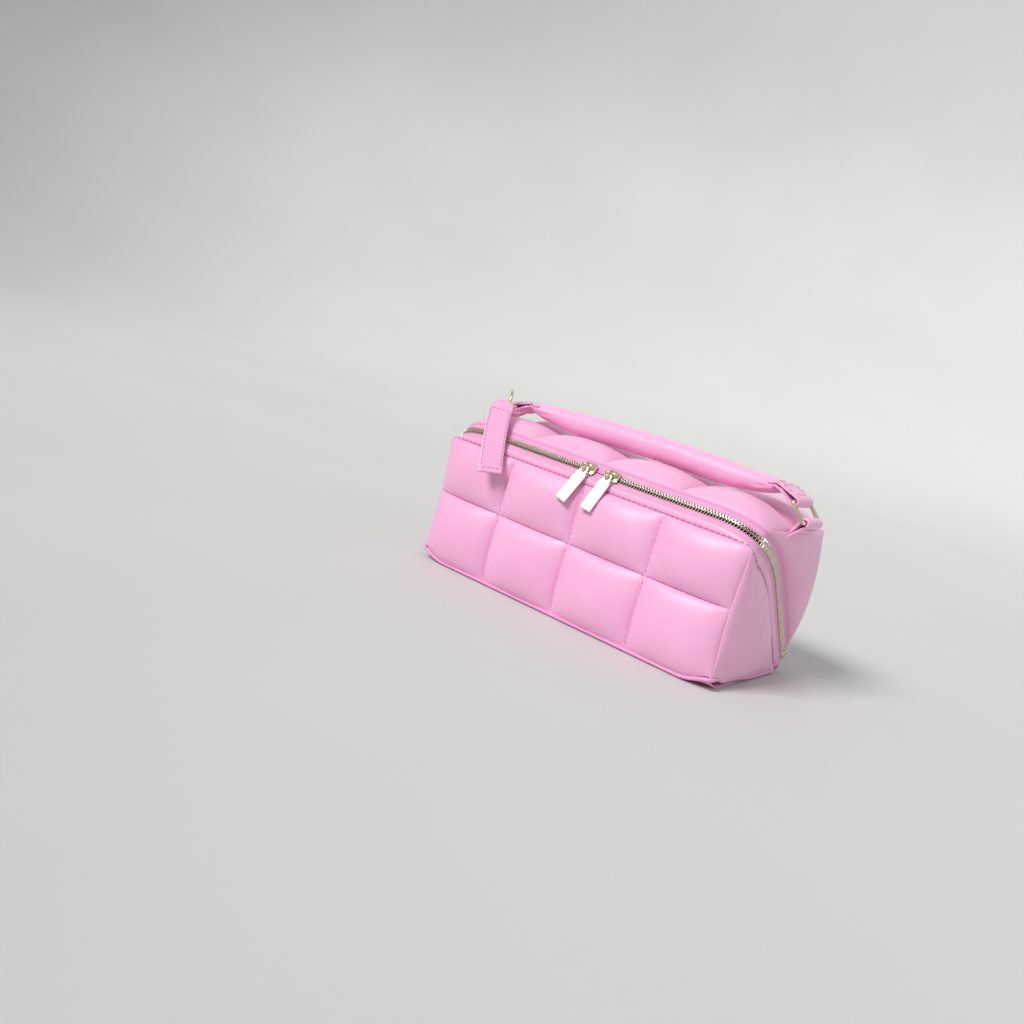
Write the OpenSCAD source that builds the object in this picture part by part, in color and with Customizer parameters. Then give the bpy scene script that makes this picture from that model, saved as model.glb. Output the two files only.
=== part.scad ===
// Quilted box makeup bag with a two-way zip round three sides.
// The base is a tray with a tall quilted front. The lid is the top, the back and
// the upper corner of each side, and it turns about the rear bottom edge.
// +X runs along the bag, the front faces -Y, and the bag stands on z = 0.

/* [Body] */
// Length between the two end walls, outside the leather
body_length = 260; // [240:5:280]
// Depth between the front and back seam planes
body_depth = 117; // [117:1:121]
// Height of the lid's top seams
lid_height = 115; // [114:0.5:117]
// Height of the stitched line along the top of the front panel
front_height = 98; // [97:0.5:98.5]
// How far each quilted square stands proud of its seams
quilt_rise = 7; // [4:0.5:8]
// How far the plain end walls bulge
end_bulge = 5; // [2:0.5:6]

/* [Quilting] */
// Squares along the bag
quilt_columns = 4; // [3:1:6]
// Height of the seam between the two rows of the front panel
front_row_z = 55; // [50:1:60]
// Place of the seam between the two rows of the lid, from the middle of the bag
lid_row_y = 4; // [0:1:8]

/* [Materials] */
// Thickness of the leather
leather_t = 1.2; // [1:0.1:1.4]
// Thickness of the lining cloth
lining_t = 0.8; // [0.6:0.1:1]
// Thickness of the stiffening board in the bottom
board_t = 2.4; // [2:0.1:2.6]

/* [Zip] */
// Distance of the zip's centre line in front of the middle of the bag
zip_front_y = -53; // [-54:0.5:-52]
// Height of the zip's centre line along the front
zip_front_z = 108; // [107.5:0.5:108.5]
// Half length of the zip's straight stretch along the front
zip_straight_x = 98; // [90:1:100]
// Half width of the tape with its teeth
tape_half = 7.5; // [7:0.1:7.6]
// Half width of the closed teeth
teeth_half = 3; // [2.5:0.1:3.2]
// Half thickness of the teeth
teeth_t = 1.25; // [1:0.05:1.4]

/* [Pulls] */
// Length of each pull plate
pull_length = 30; // [24:1:32]
// Width of each pull plate
pull_width = 9; // [7:0.5:10]
// Place of the left slider along the zip
slider_left_x = -4; // [-10:1:-2]
// Place of the right slider along the zip
slider_right_x = 16; // [14:1:24]

/* [Handle] */
// Radius of the padded handle
handle_r = 8.75; // [7:0.25:9]
// Half length of the padded handle
handle_half = 104.5; // [100:0.5:104.5]
// Width of the handle's end straps and tabs
strap_w = 26; // [23:1:26]

/* [Tag] */
// Width of the hanging tag
tag_w = 17; // [12:0.5:17]
// Thickness of the hanging tag
tag_t = 2.4; // [2:0.1:2.4]

/* [Hidden] */
$fn = 48;

pink = [0.90, 0.66, 0.82];
deep_pink = [0.82, 0.55, 0.72];
lining_pink = [0.86, 0.72, 0.78];
foam_white = [0.93, 0.92, 0.90];
board_grey = [0.60, 0.58, 0.55];
gold = [0.86, 0.78, 0.60];

half_l = body_length / 2;
half_d = body_depth / 2;
gap = 0.1;

// The lid turns about this line, along X
hinge_y = half_d;
hinge_z = 10;

// Zip route on the right end wall: a straight run up from the hinge corner, then an
// arc that flattens towards the front
side_slope = 46.5;
front_slope = 20;
side_arc_r = 115;
zip_end_y = half_d - 1;
zip_end_z = 12;
arc_start_y = 2;
arc_start_z = zip_end_z + (zip_end_y - arc_start_y) * tan(side_slope);
zip_side_x = half_l - leather_t / 2;
corner_reach = 20;
corner_drop = 8.5;

function unit(v) = v / norm(v);
function side_point(a) = [
    zip_side_x,
    arc_start_y - side_arc_r * (sin(side_slope) - sin(a)),
    arc_start_z + side_arc_r * (cos(a) - cos(side_slope))
];
function side_along(a) = [0, cos(a), -sin(a)];

corner_start = [zip_straight_x, zip_front_y, zip_front_z];
corner_end = side_point(front_slope);
corner_a = corner_start + [corner_reach, 0, 0];
corner_b = corner_end - corner_drop * side_along(front_slope);
function corner_point(t) = pow(1 - t, 3) * corner_start + 3 * pow(1 - t, 2) * t * corner_a
    + 3 * (1 - t) * t * t * corner_b + pow(t, 3) * corner_end;
function corner_along(t) = unit(pow(1 - t, 2) * (corner_a - corner_start)
    + 2 * (1 - t) * t * (corner_b - corner_a) + t * t * (corner_end - corner_b));

// Along the front the tape leans back square to the line from the hinge, so that the
// lid's half leaves the base's half in the plane of the tape
front_to_hinge = unit([0, zip_front_y - hinge_y, zip_front_z - hinge_z]);
front_out = [0, front_to_hinge[1], front_to_hinge[2]];
front_up = [0, front_out[2], -front_out[1]];
zip_out_front = unit(cross([1, 0, 0], front_up));

// A station is [point, direction along the zip, outward direction]
corner_steps = 8;
arc_steps = 6;
right_stations = concat(
    [for (i = [0:corner_steps]) let (t = i / corner_steps)
        [corner_point(t), corner_along(t), unit((1 - t) * zip_out_front + t * [1, 0, 0])]],
    [for (i = [1:arc_steps]) let (a = front_slope + (side_slope - front_slope) * i / arc_steps)
        [side_point(a), side_along(a), [1, 0, 0]]],
    [[[zip_side_x, zip_end_y, zip_end_z], side_along(side_slope), [1, 0, 0]]]
);
function mirrored(s) = [
    [-s[0][0], s[0][1], s[0][2]], [s[1][0], -s[1][1], -s[1][2]], [-s[2][0], s[2][1], s[2][2]]
];
last = len(right_stations) - 1;
stations = concat([for (i = [last:-1:0]) mirrored(right_stations[i])], right_stations);

// Directions across the zip at a station: towards the lid, and straight out
function across(s) = unit(cross(s[2], s[1]));
function outward(s) = unit(cross(s[1], across(s)));
function at(s, across_by, out_by) = s[0] + across_by * across(s) + out_by * outward(s);

// Closed solid through a list of four-cornered rings
module ribbon(rings) {
    n = len(rings);
    points = [for (r = rings) for (p = r) p];
    walls = [for (i = [0:n - 2]) for (k = [0:3]) let (m = (k + 1) % 4)
        [4 * i + k, 4 * i + m, 4 * i + 4 + m, 4 * i + 4 + k]];
    polyhedron(points, concat([[3, 2, 1, 0]], walls, [[for (k = [0:3]) 4 * (n - 1) + k]]), 4);
}

// Strip of the zip between two distances across and two distances out. Its rear ends
// stop just in front of the back panel
strip_rear_y = half_d - leather_t - gap;
function tucked(s, p) = p[1] > strip_rear_y ? p - s[1] * (p[1] - strip_rear_y) / s[1][1] : p;
module zip_strip(a0, a1, n0, n1) {
    ribbon([for (s = stations) [for (c = [[a0, n0], [a0, n1], [a1, n1], [a1, n0]]) tucked(s, at(s, c[0], c[1]))]]);
}

// Places an outline drawn in (Y, Z) and extrudes it from x0 to x1
module in_yz(x0, x1) {
    translate([x0, 0, 0]) rotate([90, 0, 90]) linear_extrude(x1 - x0) children();
}
// Places an outline drawn in (X, Z) and extrudes it from y0 to y1
module in_xz(y0, y1) {
    translate([0, y1, 0]) rotate([90, 0, 0]) linear_extrude(y1 - y0) children();
}
module both_ends() {
    children();
    mirror([1, 0, 0]) children();
}

// Points of the side curve, moved across the zip by d, from the rear to the front
side_stations = [for (i = [last:-1:corner_steps]) right_stations[i]];
function side_curve(d) = [for (s = side_stations) let (p = at(s, d, 0)) [p[1], p[2]]];

facing_in = 13.5;
edge_gap = 0.6;

wall_low = leather_t + 0.8;
wall_top = lid_height - 8.5;
// Part of a (Y, Z) outline inside the given limits
module within(y0, y1, z0, z1) intersection() {
    children();
    translate([y0, z0]) square([y1 - y0, z1 - z0]);
}
// Everything below the side curve moved by d, and everything above it
module below_curve(d) polygon(concat([[-body_depth, -10]], side_curve(d), [[-body_depth, front_height - 5]]));
module above_curve(d) polygon(concat([[body_depth, body_depth]], [[body_depth, 0]], side_curve(d),
    [[corner_end[1] + d - 6, body_depth]]));

// Outline of an end wall's lower part, inset from the bag's outside
module base_side_outline(inset, drop)
    within(-half_d + inset, half_d, wall_low + inset, body_depth) below_curve(-facing_in - drop);
// Outline of an end wall's upper part
module lid_side_outline(inset, rise)
    within(-half_d, half_d - leather_t - gap - inset, 0, wall_top - inset) above_curve(10 + edge_gap + rise);

// One crowned square lying on z = 0, cut off a little below it
module quilt_square(w, d, rise) {
    r_w = (w * w / 4 + rise * rise) / (2 * rise);
    r_d = (d * d / 4 + rise * rise) / (2 * rise);
    intersection() {
        translate([-w / 2, -d / 2, -1]) cube([w, d, rise + 2]);
        translate([0, d, rise - r_w]) rotate([90, 0, 0]) cylinder(h = 2 * d, r = r_w, $fn = 96);
        translate([-w, 0, rise - r_d]) rotate([0, 90, 0]) cylinder(h = 2 * w, r = r_d, $fn = 96);
    }
}
column_w = (body_length - 2 * leather_t) / quilt_columns;
seam_gap = 0.8;
function column_x(i) = (i - (quilt_columns - 1) / 2) * column_w;

// ---- Base ----

module front_panel() color(pink) {
    low = leather_t + 0.8;
    translate([-half_l, -half_d - leather_t, low])
        cube([body_length, leather_t, front_height - 0.4 - low]);
    rows = [[low + 2, front_row_z], [front_row_z, front_height - 1]];
    for (i = [0:quilt_columns - 1]) for (r = rows)
        translate([column_x(i), -half_d - leather_t, (r[0] + r[1]) / 2]) rotate([90, 0, 0])
            quilt_square(column_w - seam_gap, r[1] - r[0] - seam_gap, quilt_rise);
}

pad_t = 2.8;
module front_padding() color(foam_white)
    translate([-half_l + 6, -half_d + gap, 6]) cube([body_length - 12, pad_t, front_height - 12]);

lip_top = hinge_z - 0.6;
module bottom_panel() color(deep_pink) {
    translate([-half_l + 1.5, -half_d + 1, 0]) cube([body_length - 3, body_depth - 2, leather_t]);
    translate([-half_l + 1.5, half_d - 2 - leather_t, 0]) cube([body_length - 3, leather_t + 1, lip_top]);
}

module bottom_board() color(board_grey)
    translate([-half_l + 7, -half_d + 5, leather_t + gap]) cube([body_length - 14, body_depth - 14, board_t]);

piping_r = 1.7;
// Welt along the bottom edge of the front and both ends
module bottom_piping() color(deep_pink) {
    y = -half_d - leather_t - piping_r - gap;
    x = half_l + piping_r + gap;
    translate([-x, y, piping_r + gap]) rotate([0, 90, 0]) cylinder(h = 2 * x, r = piping_r);
    both_ends() {
        translate([x, y, piping_r + gap]) sphere(r = piping_r);
        translate([x, y, piping_r + gap]) rotate([-90, 0, 0]) cylinder(h = half_d - 14 - y, r = piping_r);
    }
}

module end_wall_lower() {
    in_yz(half_l - leather_t, half_l) base_side_outline(gap, edge_gap);
    bulge_r = 240;
    intersection() {
        in_yz(half_l - leather_t / 2, half_l + 2 * end_bulge) base_side_outline(2, 3);
        translate([half_l + end_bulge - bulge_r, -18, 40]) sphere(r = bulge_r, $fn = 300);
    }
}
module base_side_right() color(pink) end_wall_lower();
module base_side_left() color(pink) mirror([1, 0, 0]) end_wall_lower();

module end_padding_lower() in_yz(half_l - leather_t - gap - pad_t, half_l - leather_t - gap) base_side_outline(4, 3);
module base_side_padding_right() color(foam_white) end_padding_lower();
module base_side_padding_left() color(foam_white) mirror([1, 0, 0]) end_padding_lower();

// Folded strip between the panels and the tape. Along the front it stands upright
function facing_low(s) = let (p = at(s, -facing_in, -leather_t / 2))
    p[1] < -half_d ? [p[0], -half_d, max(p[2], front_height)] : p;
function facing_high(s) = at(s, -tape_half - gap, -leather_t / 2);
function facing_out(s) = let (rise = facing_high(s) - facing_low(s)) unit(cross(s[1], rise)) * leather_t;
module zip_facing() color(pink)
    ribbon([for (s = stations) let (o = facing_out(s))
        [facing_low(s), facing_low(s) + o, facing_high(s) + o, facing_high(s)]]);

teeth_gap = 0.9;
tape_t = 0.4;
module zip_tape_lower() color(deep_pink) zip_strip(-tape_half, -teeth_half - 0.02, -tape_t, tape_t);
module zip_teeth_lower() color(gold) zip_strip(-teeth_half, -teeth_gap, -teeth_t, teeth_t);

lining_x = half_l - leather_t - pad_t - 2 * gap;
lining_y = half_d - pad_t - 2 * gap;
lining_z = leather_t + board_t + 2 * gap;
// Wedge of the base's inside, inset by t
module base_inside(t, over)
    within(-lining_y + t, half_d - 6 - t, lining_z + t, front_height - 2 + over) below_curve(-9 + over);
module base_lining() color(lining_pink) difference() {
    in_yz(-lining_x, lining_x) base_inside(0, 0);
    in_yz(-lining_x + lining_t, lining_x - lining_t) base_inside(lining_t, 3);
}

module hinge_fold() color(deep_pink)
    translate([-half_l + 8, half_d - 4.6, leather_t + 2 * gap])
        cube([body_length - 16, 1.3, lip_top - leather_t - 4 * gap]);

// Folded metal clip that closes the end of the zip at the hinge corner
module end_clip() {
    translate([half_l + gap, half_d - 6, 1.5]) cube([1.8, 4.5, 8]);
    translate([half_l + gap, half_d - 6, 7.5]) rotate([0, 90, 0]) cylinder(h = 1.8, r = 2);
}
module zip_end_right() color(gold) end_clip();
module zip_end_left() color(gold) mirror([1, 0, 0]) end_clip();

// ---- Lid ----

// The top falls away towards both ends on an arc
fall_start = 90;
fall = 7;
fall_r = (pow(half_l - fall_start, 2) + fall * fall) / (2 * fall);
fall_steps = 10;
function fall_z(x) = lid_height - fall_r + sqrt(fall_r * fall_r - x * x);
function top_line(d) = concat(
    [for (i = [fall_steps:-1:1]) let (x = (half_l - fall_start) * i / fall_steps) [-fall_start - x, fall_z(x) - d]],
    [[-fall_start, lid_height - d], [fall_start, lid_height - d]],
    [for (i = [1:fall_steps]) let (x = (half_l - fall_start) * i / fall_steps) [fall_start + x, fall_z(x) - d]]
);
module under_top(d, floor_z, x_in) intersection() {
    polygon(concat([[-half_l, floor_z]], top_line(d), [[half_l, floor_z]]));
    translate([-half_l + x_in, floor_z]) square([body_length - 2 * x_in, 2 * lid_height]);
}

// Plan of the lid inside the line of the zip. It stays clear of the binding where that
// turns down on to the end walls
edge_back = 1.4;
edge_back_y = corner_end[1] + 9;
function lid_front(d) = [for (i = [0:corner_steps]) let (p = at(right_stations[i], 10 + 2 * edge_gap + d, 0))
    [min(p[0], half_l - edge_back - d), p[1]]];
module lid_plan(d) {
    front = lid_front(d);
    polygon(concat(
        [[-half_l + edge_back + d, edge_back_y]],
        [for (i = [corner_steps:-1:0]) [-front[i][0], front[i][1]]],
        front,
        [[half_l - edge_back - d, edge_back_y], [half_l - d, edge_back_y + edge_back],
         [half_l - d, half_d - d], [-half_l + d, half_d - d], [-half_l + d, edge_back_y + edge_back]]
    ));
}
module lid_top_panel() color(pink) intersection() {
    translate([0, 0, lid_height - 20]) linear_extrude(40) lid_plan(0);
    union() {
        difference() {
            in_xz(-half_d, half_d) under_top(0, 60, 0);
            in_xz(-half_d - 1, half_d + 1) under_top(leather_t, 59, -1);
        }
        intersection() {
            in_xz(-half_d, half_d) difference() {
                translate([-half_l, 60]) square([body_length, 80]);
                under_top(leather_t * 0.6, 59, -1);
            }
            lid_squares();
        }
    }
}
lid_front_y = zip_front_y + 7.4;
module lid_squares() {
    rows = [[lid_front_y, lid_row_y], [lid_row_y, half_d]];
    lean = atan((fall - 0.5) / column_w);
    for (i = [0:quilt_columns - 1]) for (r = rows) {
        x = column_x(i);
        outer = abs(x) > fall_start;
        translate([x, (r[0] + r[1]) / 2, lid_height - (outer ? (fall - 0.5) / 2 : 0)])
            rotate([0, outer ? sign(x) * lean : 0, 0])
                quilt_square(column_w - seam_gap, r[1] - r[0] - seam_gap, quilt_rise);
    }
}

lid_under = lid_height - 9.4;
module lid_top_padding() color(foam_white) intersection() {
    in_xz(-half_d, half_d) under_top(leather_t + gap, lid_under, 5);
    translate([0, 0, lid_under - 1]) linear_extrude(40) lid_plan(5);
}

module back_panel() color(pink) {
    low = hinge_z + 0.6;
    in_xz(half_d - leather_t, half_d) under_top(leather_t + gap, low, 0);
    rows = [[low + 1, (low + lid_height - 8) / 2], [(low + lid_height - 8) / 2, lid_height - 8]];
    for (i = [0:quilt_columns - 1]) for (r = rows)
        translate([column_x(i), half_d, (r[0] + r[1]) / 2]) rotate([-90, 0, 0])
            quilt_square(column_w - seam_gap, r[1] - r[0] - seam_gap, quilt_rise);
}

back_pad_t = 2.6;
module back_padding() color(foam_white)
    translate([-half_l + 6, half_d - leather_t - gap - back_pad_t, hinge_z + 6])
        cube([body_length - 12, back_pad_t, lid_under - hinge_z - 6.2]);

module end_wall_upper() {
    in_yz(half_l - leather_t, half_l) lid_side_outline(0, 0);
    bulge_r = 200;
    intersection() {
        in_yz(half_l - leather_t / 2, half_l + 2 * end_bulge) lid_side_outline(2, 3);
        translate([half_l + end_bulge - bulge_r, 34, 60]) sphere(r = bulge_r, $fn = 300);
    }
}
module lid_side_right() color(pink) end_wall_upper();
module lid_side_left() color(pink) mirror([1, 0, 0]) end_wall_upper();

module end_padding_upper() in_yz(half_l - leather_t - gap - pad_t, half_l - leather_t - gap) lid_side_outline(5, 3);
module lid_side_padding_right() color(foam_white) end_padding_upper();
module lid_side_padding_left() color(foam_white) mirror([1, 0, 0]) end_padding_upper();

module lid_edge_binding() color(pink) zip_strip(tape_half + gap, 10, -leather_t / 2, 1.4);
module zip_tape_upper() color(deep_pink) zip_strip(teeth_half + 0.02, tape_half, -tape_t, tape_t);
module zip_teeth_upper() color(gold) zip_strip(teeth_gap, teeth_half, -teeth_t, teeth_t);

// Wedge of the lid's inside, inset by t
lid_lining_y = half_d - leather_t - back_pad_t - 2 * gap;
module lid_inside(t, over)
    within(zip_front_y + 10 - over, lid_lining_y - t, 0, lid_under - gap - t) above_curve(10.5 - over);
module lid_lining() color(lining_pink) {
    difference() {
        in_yz(-lining_x, lining_x) lid_inside(0, 0);
        in_yz(-lining_x + lining_t, lining_x - lining_t) lid_inside(lining_t, 1);
    }
    // Front strip of the ceiling, ahead of the wedge
    translate([-105, zip_front_y + 9, lid_under - gap - lining_t]) cube([210, 30, lining_t]);
}

pocket_half = 85;
module lid_pocket() color(lining_pink)
    translate([-pocket_half, lid_lining_y - lining_t - gap - 1, 32]) cube([2 * pocket_half, 1, 52]);

// ---- Handle ----

// Rectangular rings join the tabs to the handle's straps. The handle has slid towards
// the right, so the right ring stands over its tab and the left one is drawn inwards.
// Each bar is given as [distance from the middle of the bag, height]
bar_r = 1.4;
upper_bar_right = [half_l - 1.1, 128.4];
lower_bar_right = [half_l + 9.8, 117];
upper_bar_left = [half_l - 15.5, 130];
lower_bar_left = [half_l - 2, 122];
corner_ball_r = bar_r + 0.15;
side_bar_y = strap_w / 2 + corner_ball_r + 0.45;
handle_x = 7.5;
handle_arch_r = 1600;
handle_mid_z = 133;

module tab_foot() translate([half_l + gap, -strap_w / 2 + 0.5, lid_height - 13.5]) cube([1.2, strap_w - 1, 3.6]);
module tab_foot_right() color(pink) tab_foot();
module tab_foot_left() color(pink) mirror([1, 0, 0]) tab_foot();

tab_t = 4.6;
loop_clear = 0.1;
tab_root = [half_l + 1.7 + tab_t / 2, lid_height - 5.6];
// Doubled strap sewn to the lid's side seam, folded round the lower bar
module tab_loop(bar) in_xz(-strap_w / 2 + 0.5, strap_w / 2 - 0.5) difference() {
    union() {
        translate(bar) circle(r = bar_r + loop_clear + 2.5);
        hull() {
            translate(bar) circle(r = tab_t / 2, $fn = 32);
            translate(tab_root) circle(r = tab_t / 2, $fn = 32);
        }
    }
    translate(bar) circle(r = bar_r + loop_clear);
}
module tab_loop_right() color(pink) tab_loop(lower_bar_right);
module tab_loop_left() color(pink) mirror([1, 0, 0]) tab_loop(lower_bar_left);

module ring_bar(a, b) {
    v = b - a;
    translate(a) rotate([0, acos(v[2] / norm(v)), atan2(v[1], v[0])]) cylinder(h = norm(v), r = bar_r);
}
// Four bars with slightly larger balls at the corners
module handle_ring(up, low) {
    corners = [
        [up[0], -side_bar_y, up[1]], [up[0], side_bar_y, up[1]],
        [low[0], side_bar_y, low[1]], [low[0], -side_bar_y, low[1]]
    ];
    for (i = [0:3]) {
        ring_bar(corners[i], corners[(i + 1) % 4]);
        translate(corners[i]) sphere(r = corner_ball_r);
    }
}
module handle_ring_right() color(gold) handle_ring(upper_bar_right, lower_bar_right);
module handle_ring_left() color(gold) mirror([1, 0, 0]) handle_ring(upper_bar_left, lower_bar_left);

strap_t = 4.4;
strap_root_z = 135;
// Flat doubled strap from the end of the padding, folded round the upper bar
module handle_strap(bar, end_x) in_xz(-strap_w / 2, strap_w / 2) difference() {
    union() {
        translate(bar) circle(r = bar_r + loop_clear + 2.4);
        hull() {
            translate(bar) circle(r = strap_t / 2, $fn = 32);
            translate([end_x + 0.6, strap_root_z - strap_t / 2]) square([1, strap_t]);
        }
    }
    translate(bar) circle(r = bar_r + loop_clear);
}
module handle_strap_right() color(pink) handle_strap(upper_bar_right, handle_half + handle_x);
module handle_strap_left() color(pink) mirror([1, 0, 0]) handle_strap(upper_bar_left, handle_half - handle_x);

handle_wall = 1.8;
arch_angle = asin(handle_half / handle_arch_r);
module arched_rod() translate([handle_x, 0, handle_mid_z - handle_arch_r]) rotate([90, 0, 0])
    rotate([0, 0, 90 - arch_angle]) rotate_extrude(angle = 2 * arch_angle, $fn = 360)
        translate([handle_arch_r, 0]) children();
module handle_tube() color(pink) arched_rod() difference() {
    circle(r = handle_r);
    circle(r = handle_r - handle_wall);
}
module handle_core() color(foam_white) arched_rod() circle(r = handle_r - handle_wall - gap);

// ---- Tag ----

// A round ring on the side bar of the left handle ring, a smaller ring in it, and the tag
tag_side = unit([0.80, 0.60, 0]);
tag_dir = unit([0.60, -0.80, 0]);
tag_ring_r = 10.4;
tag_ring_wire = 1.15;
tag_ring_at = [-half_l + 15.5, -18.5, 131.5];
tag_link_r = 7;
tag_link_wire = 1;
link_dir = unit([0.3, -0.95, 0.08]);
link_side = unit(cross([0, 0, 1], link_dir));
tag_ring_front = tag_ring_at + tag_ring_r * tag_dir;
tag_link_at = tag_ring_front + (tag_link_r - tag_ring_wire - tag_link_wire - 0.3) * link_dir;
tag_eye = tag_link_at + tag_link_r * link_dir;

// Ring whose plane holds direction d and direction e
module ring_in(at_point, d, e, r, wire) {
    n = cross(d, e);
    multmatrix([
        [d[0], e[0], n[0], at_point[0]], [d[1], e[1], n[1], at_point[1]],
        [d[2], e[2], n[2], at_point[2]], [0, 0, 0, 1]
    ]) rotate_extrude($fn = 64) translate([r, 0]) circle(r = wire, $fn = 24);
}
module tag_ring() color(gold) ring_in(tag_ring_at, tag_dir, [0, 0, 1], tag_ring_r, tag_ring_wire);
module tag_link() color(gold) ring_in(tag_link_at, link_dir, link_side, tag_link_r, tag_link_wire);

// The tag hangs over the front edge of the lid on a bent centre line
tag_bend = [-93, -59, 126.5];
tag_low = [-71.5, -76, 85];
tag_start = tag_eye + 2.4 * unit([0.60, -0.76, -0.1]);
function tag_point(t) = pow(1 - t, 2) * tag_start + 2 * (1 - t) * t * tag_bend + t * t * tag_low;
function tag_along(t) = unit((1 - t) * (tag_bend - tag_start) + t * (tag_low - tag_bend));
function tag_across(t) = unit(tag_side - (tag_side * tag_along(t)) * tag_along(t));
tag_steps = 10;
module tag_ribbon() ribbon([for (i = [0:tag_steps]) let (t = i / tag_steps, p = tag_point(t), w = tag_across(t) * tag_w / 2,
            o = unit(cross(tag_along(t), tag_across(t))) * tag_t / 2)
        [p - w - o, p - w + o, p + w + o, p + w - o]]);
// The folded top end of the tag, round the link's wire
module tag_eye_rod(l, r) translate(tag_eye) multmatrix([
    [0, tag_dir[0], tag_side[0], 0], [0, tag_dir[1], tag_side[1], 0],
    [1, tag_dir[2], tag_side[2], 0], [0, 0, 0, 1]
]) translate([0, 0, -l / 2]) cylinder(h = l, r = r);
tag_eye_w = 4;
module tag_strap() color(pink) difference() {
    union() {
        tag_ribbon();
        tag_eye_rod(tag_eye_w, 3.6);
    }
    tag_eye_rod(tag_eye_w + 12, 2.4);
}

// ---- Sliders and pulls ----

slider_l = 12;
slider_w = 9.4;
plate_t = 1;
plate_n = 1.6;
bridge_n = 6.2;
bridge_r = 0.7;
bridge_half = 4.3;
// Children are drawn along X, with Y across the zip towards the lid and Z straight out
module on_zip(x) multmatrix([
    [1, 0, 0, x], [0, front_up[1], zip_out_front[1], zip_front_y],
    [0, front_up[2], zip_out_front[2], zip_front_z], [0, 0, 0, 1]
]) children();

// The post between the two rows of teeth is at the end that faces the other slider
module slider(x, inner) color(gold) on_zip(x) {
    for (side = [0, 1]) mirror([0, 0, side])
        translate([-slider_l / 2, -slider_w / 2, plate_n]) cube([slider_l, slider_w, plate_t]);
    translate([inner * (slider_l / 2 - 1.3) - 1.25, -0.7, -plate_n - 0.5]) cube([2.5, 1.4, 2 * plate_n + 1]);
    for (side = [-1, 1])
        translate([side * (bridge_half - 0.7) - 0.7, -1.1, plate_n + plate_t / 2])
            cube([1.4, 2.2, bridge_n - plate_n - plate_t / 2 + bridge_r]);
    translate([-bridge_half, 0, bridge_n]) rotate([0, 90, 0]) cylinder(h = 2 * bridge_half, r = bridge_r);
}
module slider_left() slider(slider_left_x, 1);
module slider_right() slider(slider_right_x, -1);

bridge_at = [0, zip_front_y, zip_front_z] + bridge_n * zip_out_front;
hang = unit([0, -0.40, -0.917]);
hang_out = unit([0, -0.917, 0.40]);
link_r = 2.5;
link_wire = 0.65;
link_drop = link_r - link_wire - bridge_r - 0.15;
module pull_link(x) color(gold)
    ring_in(bridge_at + [x, 0, 0] + link_drop * hang, hang, hang_out, link_r, link_wire);
module pull_link_left() pull_link(slider_left_x);
module pull_link_right() pull_link(slider_right_x);

pull_t = 1.6;
eye_r = 2;
eye_drop = 1.15;
pull_neck = 3.2;
// Plate drawn hanging down -Y from the link's wire at the origin
module pull_outline() difference() {
    union() {
        translate([0, -eye_drop]) circle(r = pull_neck);
        hull() {
            translate([0, -eye_drop - 3]) circle(r = pull_neck, $fn = 32);
            for (side = [-1, 1]) {
                translate([side * (pull_width / 2 - 0.5), -eye_drop - 5]) circle(r = 0.5, $fn = 16);
                translate([side * (pull_width / 2 - 1.5), -eye_drop - pull_length + pull_neck + 1.5])
                    circle(r = 1.5, $fn = 32);
            }
        }
    }
    translate([0, -eye_drop]) circle(r = eye_r);
}
module pull_plate(x, lean) color(gold) {
    wire_at = bridge_at + [x, 0, 0] + (link_drop + link_r) * hang;
    multmatrix([
        [1, 0, 0, wire_at[0]], [0, -hang[1], hang_out[1], wire_at[1]],
        [0, -hang[2], hang_out[2], wire_at[2]], [0, 0, 0, 1]
    ]) rotate([0, 0, -lean]) translate([0, 0, -pull_t / 2]) linear_extrude(pull_t) pull_outline();
}
pull_lean_left = 14;
pull_lean_right = 10;
module pull_plate_left() pull_plate(slider_left_x, pull_lean_left);
module pull_plate_right() pull_plate(slider_right_x, pull_lean_right);

front_panel();
front_padding();
bottom_panel();
bottom_board();
bottom_piping();
base_side_left();
base_side_right();
base_side_padding_left();
base_side_padding_right();
zip_facing();
zip_tape_lower();
zip_teeth_lower();
base_lining();
hinge_fold();
zip_end_left();
zip_end_right();
lid_top_panel();
lid_top_padding();
back_panel();
back_padding();
lid_side_left();
lid_side_right();
lid_side_padding_left();
lid_side_padding_right();
lid_edge_binding();
zip_tape_upper();
zip_teeth_upper();
lid_lining();
lid_pocket();
tab_foot_left();
tab_foot_right();
handle_tube();
handle_core();
handle_strap_left();
handle_strap_right();
handle_ring_left();
handle_ring_right();
tab_loop_left();
tab_loop_right();
tag_ring();
tag_link();
tag_strap();
slider_left();
slider_right();
pull_link_left();
pull_link_right();
pull_plate_left();
pull_plate_right();
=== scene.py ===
import math

import bmesh
import bpy
import numpy as np
from mathutils import Matrix, Vector


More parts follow.
